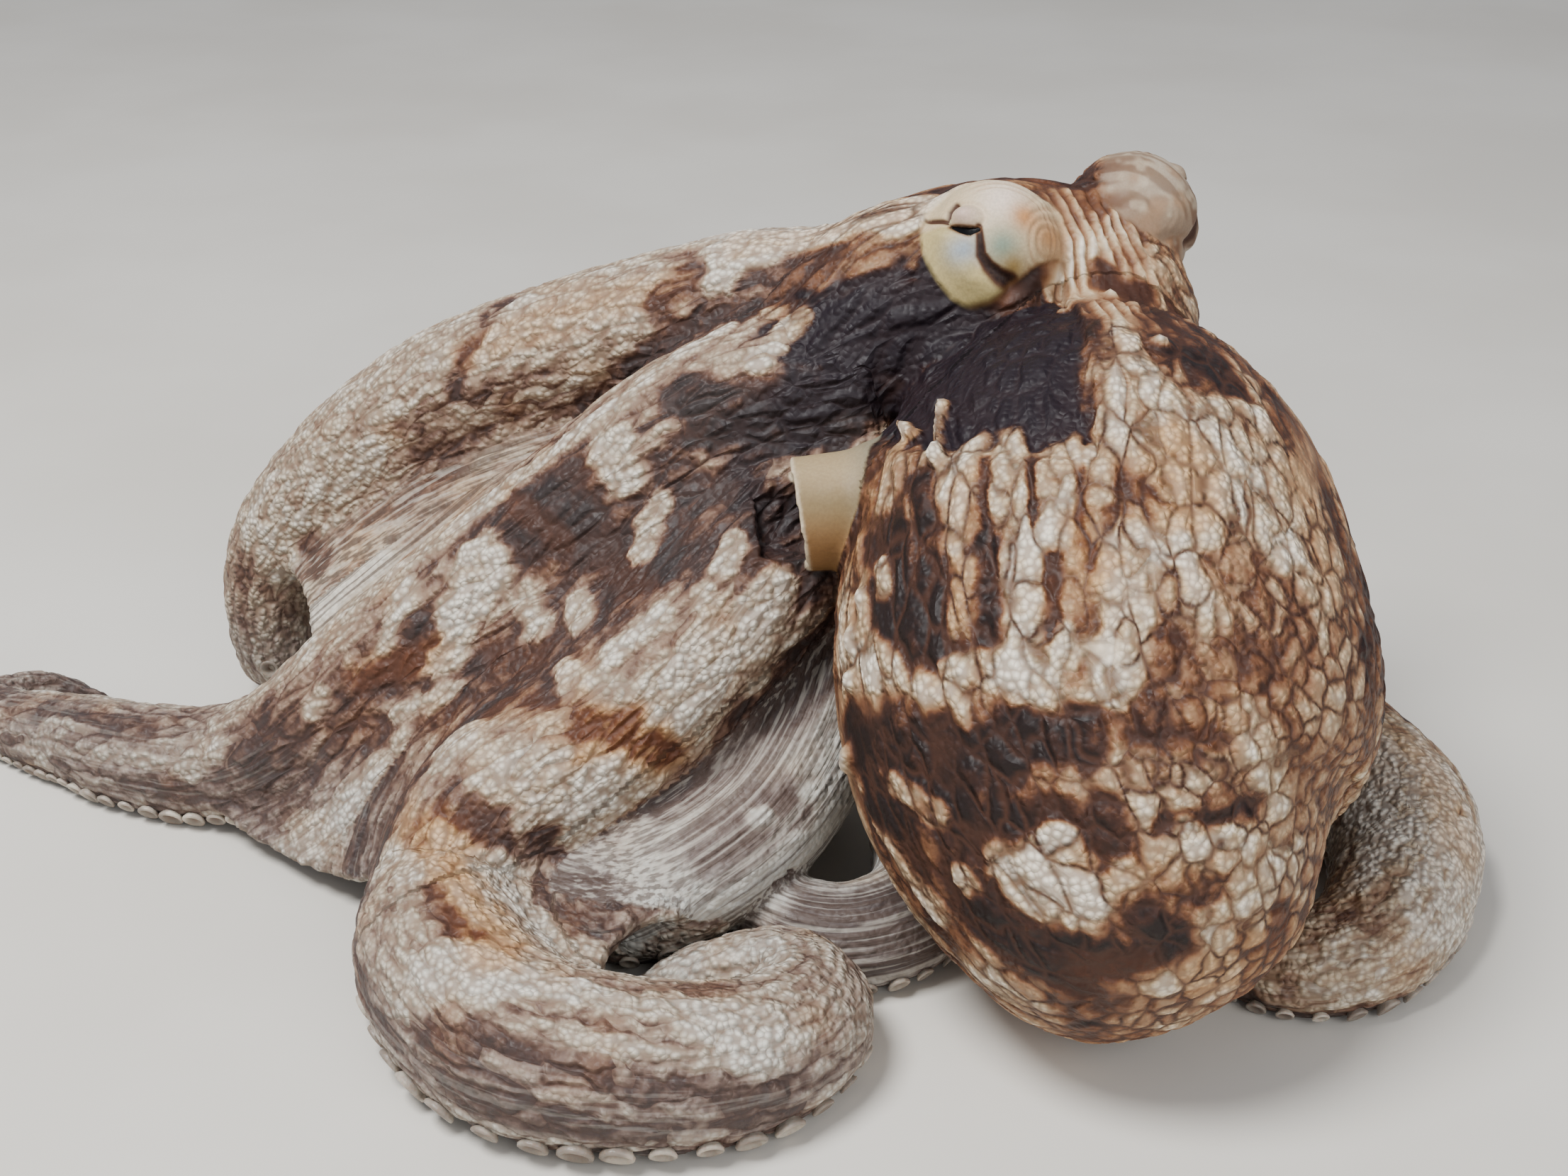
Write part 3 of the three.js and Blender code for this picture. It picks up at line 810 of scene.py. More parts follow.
# Each mark's two pixels, its radius in mm and its strength: in the first four sets, how pale it is.
MANTLE_MARKS = {
    "pale cells below the neck": ((1340, 660), (1800, 680), 10, 0.35),
    "spur behind the eye": ((1568, 440), (1590, 520), 4.5, 0.75),
    "spur, wider": ((1600, 540), (1620, 620), 8, 0.7),
    "pale shoulder": ((1700, 600), (1800, 720), 10, 0.6),
    "brown above the shoulder": ((1625, 435), (1690, 480), 5, -0.4),
    "dark right of the spur": ((1660, 490), (1740, 545), 6.5, -0.8),
    "right side": ((1780, 850), (1860, 1200), 15, 0.05),
    "right side, inner": ((1700, 900), (1740, 1120), 10, 0.1),
    "dark upper left": ((1255, 770), (1305, 900), 9.5, -0.85),
    "dark between the columns": ((1392, 770), (1397, 890), 4, -0.8),
    "dark beside the first column": ((1295, 680), (1305, 740), 3.2, -0.7),
    "dark beside the oval": ((1480, 790), (1485, 890), 2.4, -0.55),
    "brown above the oval": ((1520, 740), (1545, 800), 3.4, -0.25),
    "brown right of the oval": ((1650, 910), (1680, 960), 4.5, -0.2),
    "brown on the right": ((1760, 900), (1790, 960), 4, -0.15),
    "tan right edge": ((1845, 700), (1880, 1000), 8, 0.3),
    "gap between the columns": ((1388, 650), (1394, 750), 1.5, -0.6),
    "second gap": ((1455, 650), (1458, 740), 1.3, -0.5),
    "third gap": ((1526, 660), (1524, 730), 1.3, -0.5),
    "first column": ((1360, 640), (1352, 760), 4.4, 0.75),
    "narrow column": ((1420, 630), (1412, 720), 2.2, 0.65),
    "wide column": ((1505, 640), (1488, 750), 3.8, 0.75),
    "column beside it": ((1545, 640), (1552, 700), 2.8, 0.7),
    "tan patch": ((1660, 630), (1690, 730), 6, 0.45),
    "pale patch of the shoulder": ((1780, 730), (1800, 780), 5.5, 0.8),
    "tan column": ((1360, 800), (1355, 890), 3, 0.3),
    "pale column": ((1452, 800), (1446, 895), 4, 0.65),
    "pale oval": ((1582, 780), (1572, 970), 5.8, 0.8),
    "pale lump right of the oval": ((1655, 825), (1690, 850), 4.5, 0.5),
    "pale left edge": ((1215, 920), (1265, 960), 4.6, 0.7),
    "pale upper left edge": ((1245, 800), (1250, 830), 2.6, 0.6),
    "pale cells, left": ((1348, 950), (1358, 1020), 4.6, 0.65),
    "pale cells, middle": ((1430, 945), (1462, 975), 4.6, 0.8),
    "pale cell between": ((1500, 900), (1502, 930), 2.8, 0.6),
    "dark band": ((1205, 1035), (1400, 1065), 8.5, -0.85),
    "dark band, middle": ((1400, 1050), (1560, 1040), 5.5, -0.75),
    "brown band, right": ((1560, 1035), (1740, 1040), 3.6, -0.4),
    "pale cells on the right": ((1600, 1090), (1690, 1100), 6, 0.45),
    "pale cells, far right": ((1760, 1020), (1800, 1150), 6, 0.45),
    "dark band, low": ((1240, 1130), (1500, 1160), 7, -0.85),
    "dark beside the lumps": ((1555, 1150), (1600, 1280), 4.5, -0.5),
    "brown streak, right": ((1640, 1160), (1760, 1140), 2.8, -0.45),
    "tan streak": ((1262, 1105), (1325, 1148), 3, 0.4),
    "pale lumps": ((1450, 1235), (1525, 1270), 8.5, 0.85),
    "pale lump, upper": ((1480, 1192), (1500, 1196), 4, 0.85),
    "pale lump between": ((1585, 1225), (1600, 1240), 3.4, 0.7),
    "pale lumps, right": ((1680, 1200), (1740, 1195), 6, 0.65),
    "pale cells, low left": ((1285, 1235), (1325, 1285), 5, 0.6),
    "pale dot": ((1362, 1240), (1370, 1252), 3.4, 0.65),
    "dark lower left": ((1390, 1300), (1420, 1330), 6.5, -0.85),
    "dark lower middle": ((1480, 1350), (1640, 1330), 6.5, -0.75),
    "pale low right": ((1740, 1290), (1800, 1250), 8, 0.5),
    "pale low left": ((1400, 1370), (1450, 1395), 4, 0.5),
    "pale low middle": ((1660, 1380), (1720, 1360), 6, 0.5),
}

ARM_MARKS = {
    "brown ground of the web": ((760, 720), (1120, 780), 20, -0.55),
    "brown ground, low": ((620, 960), (1120, 960), 13, -0.45),
    "brown ground of the second arm": ((330, 1080), (600, 960), 12, -0.25),
    "pale first arm": ((880, 400), (560, 530), 13, 0.6),
    "pale first arm, left": ((500, 590), (380, 760), 14, 0.6),
    "end of the first arm": ((350, 860), (400, 940), 10, 0.25),
    "dark side of the head": ((1290, 430), (1150, 480), 12, -1),
    "dark side of the head, low": ((1480, 560), (1130, 590), 12, -1),
    "dark side by the funnel": ((1100, 570), (1000, 600), 8, -0.75),
    "dark left of the funnel": ((1040, 680), (1100, 790), 6, -0.6),
    "crest by the head": ((1290, 300), (1040, 350), 8.5, 1.0),
    "brown streak on it": ((1190, 350), (1110, 372), 2.5, -0.3),
    "brown side of the first arm": ((1100, 400), (1000, 430), 6, -0.3),
    "pale band of the first arm": ((1040, 372), (1010, 410), 4, 0.8),
    "brown patch of the first arm": ((975, 385), (925, 440), 4, -0.3),
    "pale fleck beside it": ((990, 440), (950, 470), 3, 0.7),
    "brown diagonal": ((710, 430), (640, 552), 3.8, -0.3),
    "brown beside the crest": ((1010, 440), (900, 520), 4.5, -0.5),
    "brown at the start of the crest": ((1060, 440), (960, 500), 3.5, -0.5),
    "pale between the crests": ((870, 470), (780, 560), 5, 0.6),
    "pale fleck in the dark": ((1130, 450), (1070, 515), 3.6, 0.75),
    "valley of fine lines": ((600, 740), (780, 570), 9, 0.2),
    "pale crest": ((1030, 462), (890, 560), 2.8, 0.8),
    "pale crest, middle": ((890, 560), (770, 650), 3.6, 0.8),
    "pale crest, low": ((770, 650), (650, 740), 4.5, 0.75),
    "brown below the crest": ((970, 560), (1080, 610), 7, -0.75),
    "chocolate patch": ((780, 735), (930, 800), 8.5, -0.85),
    "pale blob": ((868, 640), (874, 662), 7, 0.9),
    "pale leaf": ((930, 705), (905, 775), 4.2, 0.7),
    "pale spot high": ((1035, 765), (1022, 800), 4.6, 0.8),
    "pale spot right": ((1090, 840), (1070, 870), 6, 0.85),
    "pale spot between": ((995, 835), (992, 858), 3.4, 0.7),
    "pale streak": ((935, 870), (865, 925), 4.4, 0.8),
    "white blob": ((980, 950), (1005, 940), 7.4, 1),
    "pale spot beside it": ((1055, 940), (1068, 960), 4.2, 0.6),
    "pale streak, low": ((895, 975), (800, 950), 4.2, 0.8),
    "pale leaf, large": ((685, 800), (630, 925), 7.5, 0.9),
    "pale spot of the middle": ((745, 850), (755, 880), 5.2, 0.75),
    "small pale spot": ((815, 850), (822, 875), 3.8, 0.65),
    "pale streaks, left": ((575, 830), (540, 925), 4, 0.7),
    "brown spot of the first arm": ((440, 775), (450, 792), 4.5, -0.3),
    "rust diagonal": ((530, 965), (600, 895), 5.5, -0.5),
    "brown between": ((710, 920), (770, 985), 5, -0.35),
    "pale on the second arm": ((455, 980), (440, 1000), 4.5, 0.6),
    "pale on the second arm, right": ((640, 970), (560, 1010), 4, 0.65),
    "pale on the second arm, low": ((300, 1060), (270, 1090), 5, 0.6),
    "pale on the second arm, end": ((90, 1030), (60, 1040), 6, 0.4),
    "brown on the second arm": ((370, 1080), (420, 1060), 5, -0.5),
    "rust of the fold": ((830, 1020), (930, 1060), 6.5, -0.2),
    "pale on the third arm": ((640, 1050), (780, 1100), 6, 0.8),
    "pale on the third arm, right": ((800, 1080), (900, 1100), 5, 0.7),
    "bend of the third arm": ((560, 1290), (640, 1480), 13, 0.4),
    "bend of the third arm, low": ((640, 1500), (1080, 1560), 11, -0.15),
    "end of the third arm": ((1080, 1440), (1180, 1400), 9, 0.4),
    "rust on the third arm": ((640, 1130), (720, 1190), 4.5, -0.3),
    "rust on the third arm, low": ((600, 1240), (670, 1350), 4.5, -0.35),
    "pale lump": ((560, 1210), (590, 1240), 5, 0.75),
    "pale lump, low": ((650, 1265), (680, 1300), 4, 0.75),
    "grey-brown on the arm": ((760, 1190), (850, 1290), 8, -0.2),
    "inner band of the arm": ((900, 1180), (960, 1330), 5, 0.4),
    "white band of the arm": ((620, 1360), (860, 1440), 8, 1.0),
    "white band, right": ((860, 1440), (1080, 1470), 7, 0.85),
    "rust line of the arm": ((720, 1420), (980, 1480), 2.5, 0.1),
    "shade of the fourth arm": ((1150, 1310), (1260, 1290), 9, -0.3),
    "patch on the fourth arm": ((1010, 1190), (1110, 1130), 9, -0.1),
    "pale spot on the patch": ((1068, 1155), (1078, 1150), 2.8, 0.9),
    "pale spot on the patch, high": ((1135, 1115), (1145, 1120), 2.4, 0.9),
    "pale spot on the patch, low": ((1110, 1195), (1120, 1190), 3, 0.8),
    "right arm": ((1970, 1080), (2060, 1300), 26, 1.0),
    "right arm, low": ((1900, 1380), (2050, 1340), 12, 0.7),
    "pale of the right arm": ((2000, 1190), (2020, 1130), 8, 0.95),
    "rust of the right arm": ((2030, 1060), (2060, 1150), 2.5, 0.1),
}

HEAD_MARKS = {
    "dark below the eye": ((1330, 470), (1480, 500), 11, -1),
    "dark beside the neck": ((1190, 500), (1270, 560), 8, -1),
    # Brown skin behind the dome, darkened further as painted shade of its folds.
    "brown skin and fold shade behind the dome": ((1450, 420), (1500, 440), 4, -0.6),
    "pale streaks between the eyes": ((1540, 300), (1580, 400), 5, 0.35),
    "brown over the head": ((1490, 270), (1560, 290), 4, -0.2),
}

NECK_MARKS = {
    "brown below the folds": ((1552, 398), (1598, 428), 4.2, -0.6),
    "dark right of the folds": ((1612, 412), (1648, 458), 3.8, -0.7),
    "rust between the folds": ((1552, 372), (1566, 386), 1.8, -0.5),
    "rust behind the near eye": ((1522, 264), (1546, 292), 3.2, -0.3),
}

WARM_MARKS = {
    "orange rim of the mantle": ((1300, 610), (1205, 790), 2.8, 1.0),
    "orange tan patch": ((1660, 630), (1690, 730), 7, 0.8),
    "orange column": ((1365, 680), (1355, 750), 4, 0.6),
    "tan column": ((1360, 800), (1355, 890), 3.5, 0.7),
    "orange of the right edge": ((1800, 620), (1870, 820), 6, 0.5),
    "rust above the oval": ((1520, 740), (1545, 800), 4, 0.9),
    "orange low on the right": ((1700, 1380), (1790, 1330), 9, 0.7),
    "rust on the third arm": ((600, 1180), (700, 1340), 9, 0.9),
    "rust of the fold": ((830, 1020), (930, 1060), 8, 0.9),
    "rust before the fold": ((700, 1000), (780, 1010), 6, 0.5),
    "rust beside the patch": ((720, 700), (800, 770), 4, 0.4),
    "rust of the second arm": ((500, 950), (620, 920), 6, 0.7),
    "orange of the right arm": ((1990, 1060), (2060, 1200), 9, 0.6),
    "tan crest": ((1290, 300), (1040, 350), 5, 0.5),
    "tan of the first arm": ((960, 400), (660, 500), 5, 0.5),
    "brown over the head": ((1460, 262), (1540, 285), 4, 0.8),
}

PURPLE_MARKS = {
    "side of the head": ((1300, 430), (1170, 500), 15, 1.0),
    "below the eye": ((1480, 560), (1300, 540), 14, 1.0),
    "above the funnel": ((1280, 590), (1120, 590), 9, 0.9),
    "left of the funnel": ((1060, 620), (1080, 760), 8, 0.5),
}

# The folds of the neck run between the eyes, along these pixels, this far apart in mm and leaning this much.
NECK_FOLDS = ((1530, 310), (1560, 370), (1600, 440))
FOLD_SPACING = 3.2
FOLD_LEAN = 0.25

# The pixels that each bump runs between, and its radius and height in mm.
BUMPS = {
    "nub on the neck": ((1567, 419), (1569, 421), 1.4, 1.2),
    "nub right of it": ((1635, 485), (1637, 487), 1.5, 1.2),
    "nub of the left edge": ((1222, 838), (1221, 842), 1.8, 1.4),
    "nub below it": ((1208, 896), (1207, 904), 2.0, 1.6),
    "nub in the middle": ((1204, 958), (1203, 964), 1.8, 1.6),
    "large nub": ((1203, 1062), (1202, 1076), 2.6, 2.2),
    "finger": ((1322, 650), (1336, 580), 1.7, 2.8),
    "small finger": ((1276, 604), (1300, 618), 1.4, 1.8),
}


def lay_marks(places, values, marks, on_part, flow):
    """Lays marks over values, in order, on one part of the body. Their edges run out along the flow."""
    rough = 0.5 * noise(flow * [0.3, 1, 1], 4.5, seed=1) + 0.2 * noise(places.points, 3.2, seed=2)
    for start, end, radius, strength in marks.values():
        ends = [place for place in (seen_at(start), seen_at(end)) if place is not None]
        if not ends:
            continue
        distance, _ = from_path(places.points, ends)
        share = (1 - smooth(distance / radius + rough, 0.5, 1.3)) * on_part
        values = values + (strength - values) * share
    return values


def on_bump(points, start, end, radius):
    distance, _ = from_path(points, [seen_at(start), seen_at(end)])
    return ridge(distance, radius)


def all_tones(places):
    """How pale the skin is, from -1, the darkest brown, to 1, nearly white."""
    drawn = places.flow * [0.5, 1, 1]
    off_mantle = 1 - places.mantle
    off_body = 1 - places.body_share
    arms = 0.2 + 0.75 * noise(drawn, 15, seed=3) + 0.4 * noise(drawn, 6, seed=4)
    body = 0.7 * noise(places.body, 13, seed=5) + 0.45 * noise(places.body, 6, seed=6)
    tone = arms + (body - arms) * places.body_share
    underside = 1 - smooth(places.normals[:, 2], -0.5, 0.0)
    tone = tone + (0.5 - tone) * underside * off_body
    tone = lay_marks(places, tone, ARM_MARKS, off_mantle, places.flow)
    # Painted shade: the arms darken to deep brown where they come down to the floor.
    on_floor = 1 - smooth(places.height + 2.5 * noise(places.points, 5, seed=17), 2.5, 9)
    tone = tone + (-0.75 - tone) * 0.8 * on_floor * off_body
    tone = lay_marks(places, tone, HEAD_MARKS, off_mantle, places.flow)
    tone = tone + (-1 - tone) * places.bare_neck * places.mantle
    tone = lay_marks(places, tone, MANTLE_MARKS, places.mantle, places.body)
    folded = 0.6 * places.folds + 0.1 + 0.55 * noise(places.points, 7, seed=19)
    tone = tone + (folded - tone) * 0.8 * places.head_top
    tone = lay_marks(places, tone, NECK_MARKS, 0.85 * (1 - places.on_eyes), places.body)
    for start, end, radius, _ in BUMPS.values():
        tone = tone + (0.9 - tone) * on_bump(places.points, start, end, radius)
    return tone


# ---- The eyes: places are in millimetres right and up from a dome's middle, as the photo shows it ----

SLIT = [(-10.9, 3.3), (-8.6, 2.3), (-6.9, 1.8), (-5.0, 2.2)]
SLIT_HALF_HEIGHTS = [0.15, 0.6, 0.85, 0.4]
SLIT_DEPTH = 2.4
LID_BUMP = (-7.4, 5.2)
BROWN_LINE = [(-4.6, 2.8), (-4.4, -0.2), (-4.1, -3.8), (-2.3, -6.4), (0.3, -8.5), (2.8, -9.5)]
NOTCH_LINE = [(-14.4, 5.7), (-11.6, 4.7), (-10.9, 7.2), (-9.5, 8.8)]
LOWER_LID = [(-12.8, -0.5), (-11.2, -5.5), (-7.5, -10.0), (-2.0, -11.8)]
DOME_EDGE = [(-16.3, -3.0), (-14.5, -8.0), (-11.5, -12.0), (-7.0, -14.6), (-1.5, -13.6), (3.8, -10.6),
             (9.1, -6.6), (14.5, -4.2)]
WRINKLE_CENTRE = (11.9, -0.2)
WRINKLE_SPACING = 1.9
OUTER_FOLD_SPACING = 1.35
# Each colour of the near eye, its strength, place and radius: first those below the colour of the lower
# lid, and then those over it.
NEAR_EYE_SPOTS = [
    # The dome's top: pale pink skin with a painted highlight.
    ("ead8c6", 1, (1.5, 9.5), 6.5),
    ("c0854f", 0.95, (6.0, 5.2), 3.6),
    ("b5804f", 0.9, (12.5, 1.0), 4.8),
    ("80917f", 1, (0.8, -1.8), 4.4),
    ("8f7440", 0.95, (3.5, -6.5), 3.2),
]
NEAR_LID_SPOTS = [
    ("99a3aa", 1, (-8.0, -2.2), 3.4),
    ("cdb3a4", 1, LID_BUMP, 2.6),
]


def eye_axes(name):
    """Right, up and nearer, as the photo shows the near eye, and mirrored for the far one."""
    axes = np.array([SEEN_RIGHT, SEEN_UP, SEEN_NEARER])
    if name == "eye_right":
        across = unit(np.subtract(EYES["eye_right"]["centre"], EYES["eye_left"]["centre"]))
        axes = axes - 2 * (axes @ across)[:, None] * across
    return axes


def eye_places(points, name):
    """The places of points on a dome, and how surely they belong to it."""
    away = points - placed(EYES[name]["centre"])
    far = np.linalg.norm(away, axis=1)
    place = away / far[:, None] @ eye_axes(name).T * EYE_BULGE_RADIUS
    near_dome = 1 - smooth(far, EYE_BULGE_RADIUS + 0.9, EYE_BULGE_RADIUS + 2.4)
    return place[:, :2], near_dome * smooth(place[:, 2], -2, 2)


def slit_gap(place):
    """How far places are outside the slit, which is widest towards its inner end."""
    from_slit, along = from_path(place, SLIT)
    return from_slit - np.interp(along, [0, 0.3, 0.7, 1], SLIT_HALF_HEIGHTS)


def lid_relief(place, points, name):
    """How far the lids and folds of an eye stand out of its dome. Those of the far eye are fainter."""
    boldness = 1.0 if name == "eye_left" else 0.45
    above = place[:, 1] - np.interp(place[:, 0], *zip(*SLIT))
    from_bump = np.hypot((place[:, 0] - LID_BUMP[0]) / 3.4, (place[:, 1] - LID_BUMP[1]) / 2.9)
    height = 2.6 * boldness * (1 - smooth(from_bump, 0.0, 1.25)) * smooth(above, -0.2, 0.9)
    height -= 0.55 * boldness * ridge(from_bump - 1.25, 0.2) * smooth(above, 0, 1.5)
    from_brown, along = from_path(place, BROWN_LINE)
    height -= (0.4 + 0.9 * along) * ridge(from_brown, 0.8 + 0.9 * along)
    height -= 0.7 * boldness * ridge(from_path(place, NOTCH_LINE)[0], 0.8)
    from_lid, _ = from_path(place, LOWER_LID)
    height += 1.2 * boldness * (1 - smooth(from_lid, 1.5, 5.0)) * (1 - smooth(above, -1.2, -0.2))
    height -= 0.9 * ridge(from_path(place, DOME_EDGE)[0], 1.0)
    wrinkle, window = wrinkles(place, points)
    height += 0.16 * boldness * wave(wrinkle, WRINKLE_SPACING) * window
    ring = np.linalg.norm(place, axis=1) + 0.3 * noise(points, 4, seed=13)
    height += 0.2 * boldness * outer_folds(place, ring)
    opening = 1 - smooth(slit_gap(place), -0.15, 0.2)
    return height * (1 - opening) - SLIT_DEPTH * opening


def outer_folds(place, ring):
    """Folds round a dome's edge, on the side away from its slit."""
    window = smooth(ring, 11.5, 12.8) * smooth(place[:, 0] + place[:, 1], 4, 10)
    return wave(ring, OUTER_FOLD_SPACING) * window


def wrinkles(place, points):
    """Rings of fine folds beside an eye: how far out each point is, and how strong they are there."""
    away = (place - WRINKLE_CENTRE) * [1, 0.75]
    radius = np.linalg.norm(away, axis=1) + 0.7 * noise(points, 5, seed=12)
    return radius, smooth(radius, 1.0, 3.0) * (1 - smooth(radius, 7, 10)) * smooth(place[:, 0], 5, 8)


def colour(code):
    """A colour written as rrggbb, as the renderer's linear values."""
    shares = [int(code[i:i + 2], 16) / 255 for i in (0, 2, 4)]
    return np.array([c / 12.92 if c <= 0.04045 else ((c + 0.055) / 1.055) ** 2.4 for c in shares])


class Paint:
    """Colours laid over each other on the skin's points."""

    def __init__(self, count, base):
        self.colours = np.tile(colour(base), (count, 1))

    def lay(self, code, share):
        self.colours += (colour(code) - self.colours) * np.clip(share, 0, 1)[:, None]

    def lay_spot(self, place, code, strength, centre, radius):
        self.lay(code, strength * ridge(np.linalg.norm(place - centre, axis=1), radius))


def near_eye_paint(place, points):
    """The near eye's colours, and where they hide those of the skin."""
    paint = Paint(len(points), "cdb892")
    for spot in NEAR_EYE_SPOTS:
        paint.lay_spot(place, *spot)
    from_lid, _ = from_path(place, LOWER_LID)
    paint.lay("bba974", 1 - smooth(from_lid, 3.5, 5.0))
    for spot in NEAR_LID_SPOTS:
        paint.lay_spot(place, *spot)
    from_brown, along = from_path(place, BROWN_LINE)
    paint.lay("54301b", 1 - smooth(from_brown, 0.5 + 1.1 * along, 1.1 + 1.7 * along))
    paint.lay("241310", 1 - smooth(from_brown, 0.2 + 0.7 * along, 0.7 + 1.3 * along))
    from_notch, _ = from_path(place, NOTCH_LINE)
    paint.lay("472a1a", 1 - smooth(from_notch, 0.35, 1.0))
    gap = slit_gap(place)
    paint.lay("6b4524", 0.9 * (1 - smooth(gap, 0.1, 0.9)))
    paint.lay("140c0a", 1 - smooth(gap, 0.0, 0.3))
    from_edge, _ = from_path(place, DOME_EDGE)
    paint.lay("6d4a2c", 0.85 * (1 - smooth(from_edge, 0.4, 1.6)))
    # Painted shade in the grooves of the folds round the dome and of the wrinkles beside it.
    paint.lay("b08c6d", -0.5 * outer_folds(place, np.linalg.norm(place, axis=1)))
    wrinkle, window = wrinkles(place, points)
    paint.lay("a57e5b", np.maximum(-0.45 * wave(wrinkle, WRINKLE_SPACING), 0) * window)
    edge_height = np.interp(place[:, 0], *zip(*DOME_EDGE[3:]))
    above_edge = smooth(place[:, 1] - edge_height, -0.2, 0.8)
    return paint.colours, np.maximum(above_edge, smooth(-place[:, 0] - 5, 0, 2))


def far_eye_paint(place, points):
    """The far eye's colours, which hide most of the skin's."""
    paint = Paint(len(points), "8f7b67")
    # A paler top of the dome: painted highlight.
    paint.lay_spot(place, "a99c8c", 1, (2, 9), 8)
    paint.lay("8a6342", 0.7 * smooth(noise(points, 5, seed=9), 0.0, 0.6))
    upright = np.stack([place[:, 0] / 1.6, place[:, 1] / 8, np.zeros(len(place))], -1)
    paint.lay("5f4231", 0.8 * smooth(noise(upright, 1.0, seed=16), 0.0, 0.5))
    paint.lay("b9aa94", 0.6 * smooth(noise(points, 2.4, seed=10), 0.1, 0.7))
    from_brown, along = from_path(place, BROWN_LINE)
    paint.lay("3a2116", 1 - smooth(from_brown, 0.4 + 0.8 * along, 1.2 + 1.2 * along))
    paint.lay("140c0a", 1 - smooth(slit_gap(place), 0.0, 0.35))
    return paint.colours, np.full(len(points), 0.85)


def funnel_paint(points):
    """A tan funnel: painted light on top, a pale rim with a painted highlight, and painted shade inside and
    at its greyer root.
    """
    _, distance, _, run = Flow([funnel_line]).at(points)
    from_rim = (CAMERA_PLACE - points) @ rim_direction()
    high = points @ SEEN_UP - placed(FUNNEL_PATH[-1]) @ SEEN_UP
    paint = Paint(len(points), "877451")
    # Painted light: the funnel is paler towards its top.
    paint.lay("a8936f", smooth(high, 1, 10))
    paint.lay("94683c", 0.7 * (1 - smooth(high, -9, 3)) * (1 - smooth(from_rim, 8, 18)))
    # Greyer towards the root: grey skin, and painted shade under the mantle's edge.
    paint.lay("7b7a6c", 0.8 * smooth(from_rim, 9, 22))
    # The pale rim, with a painted highlight on it.
    paint.lay("cbbb9f", 1 - smooth(from_rim, 0.3, 1.3))
    # Painted shade inside the bore.
    inner = stepped_radius(FUNNEL_RADII, funnel_line.length, run) - FUNNEL_WALL * 0.6
    paint.lay("4a3427", smooth(inner - distance, -0.4, 0.8) * smooth(from_rim, 0.5, 5))
    return paint.colours


# ---- Making the skin ----

def relief(places, tone):
    """How far the skin stands out of the smooth body, apart from its cells."""
    height = 0.7 * smooth(tone, -0.3, 0.8) * (1 - places.funnel)
    height += 0.45 * noise(places.flow * [0.09, 1, 1], 2.2, seed=7) * places.lines
    height += 0.55 * places.folds * places.head_top
    height *= 1 - places.on_eyes
    for name, (place, on_dome) in places.eyes.items():
        height += lid_relief(place, places.points, name) * on_dome
    for start, end, radius, stands_out in BUMPS.values():
        height += stands_out * on_bump(places.points, start, end, radius)
    return height * smooth(places.height, 0.2, 2.0)


def painted_parts(places):
    """The colours of the eyes and the funnel, and where they hide the skin's own."""
    points = places.points
    colours = np.zeros((len(points), 4))
    colours[:, 3] = 1
    painted = np.zeros(len(points))
    for name, paint in (("eye_left", near_eye_paint), ("eye_right", far_eye_paint)):
        place, on_dome = places.eyes[name]
        hue, share = paint(place, points)
        share = share * on_dome
        colours[:, :3] += (hue - colours[:, :3]) * (share > painted)[:, None]
        painted = np.maximum(painted, share)
    near_funnel = places.funnel > 0
    colours[near_funnel, :3] = funnel_paint(points[near_funnel])
    return colours, np.maximum(painted, places.funnel)


def hues(places):
    """How far each point is turned to the warm, the cool and the purple colours. Low down, the cool is
    painted shade.
    """
    warm = 0.35 * smooth(noise(places.points, 11, seed=11), 0.1, 0.8)
    rim = places.mantle * (1 - smooth(places.height, 8, 30))
    warm = np.clip(lay_marks(places, warm, WARM_MARKS, 1.0, places.flow) + 0.6 * rim, 0, 1)
    warm *= 1 - 0.6 * places.head_top
    # The arms' own grey-blue, strongest on the inner arms, plus painted bluish shade that deepens low down.
    cool = np.clip(np.where(places.inner_arms, 0.8, 0.36) + 0.35 * places.low, 0, 1)
    cool *= (1 - places.body_share) * (1 - warm)
    cool *= np.where(places.arm == "R3", 0.3, 1)
    purple = lay_marks(places, np.zeros(len(warm)), PURPLE_MARKS, 1 - places.mantle, places.flow)
    return warm, cool, np.maximum(purple, places.bare_neck * places.mantle)


ATTRIBUTE_KINDS = {1: ("FLOAT", "value"), 3: ("FLOAT_VECTOR", "vector"), 4: ("FLOAT_COLOR", "color")}


def write(mesh, **attributes):
    """Gives each point of a mesh a number, a vector or a colour under each name."""
    for name, values in attributes.items():
        values = np.asarray(values, np.float32).reshape(len(values), -1)
        kind, key = ATTRIBUTE_KINDS[values.shape[1]]
        mesh.attributes.new(name, kind, "POINT").data.foreach_set(key, values.ravel())


def dress(mesh):
    """Gives the skin its folds, and each point what its material needs to know."""
    places = Places(mesh)
    tone = all_tones(places)
    stands_out = relief(places, tone)
    colours, painted = painted_parts(places)
    warm, cool, purple = hues(places)
    smoothness = np.maximum.reduce([places.funnel, places.on_eyes, np.where(places.inner_arms, 0.6, 0)])
    cells = (1 - smoothness) * (1 - 0.75 * places.head_top) * (1 - 0.6 * places.valley)
    cells *= smooth(places.height, 0.5, 2.5)
    write(
        mesh,
        odd_share=places.odd_share,
        body_share=places.body_share,
        tone=tone,
        warm=warm,
        cool=cool,
        purple=purple,
        lines=places.lines,
        painted=painted,
        cells=cells,
        flow_even=places.even,
        flow_odd=places.odd,
        flow_body=places.body,
        paint=colours,
    )
    move(mesh, places.points + places.normals * stands_out[:, None])


# ---- Materials ----

def rgba(code):
    return (*colour(code), 1)


def fill(tree, made, inputs):
    """Sets the inputs of a node, each to a number, to a colour or to another node's output."""
    for key, value in inputs.items():
        if isinstance(value, bpy.types.NodeSocket):
            tree.links.new(value, made.inputs[key])
        else:
            made.inputs[key].default_value = value


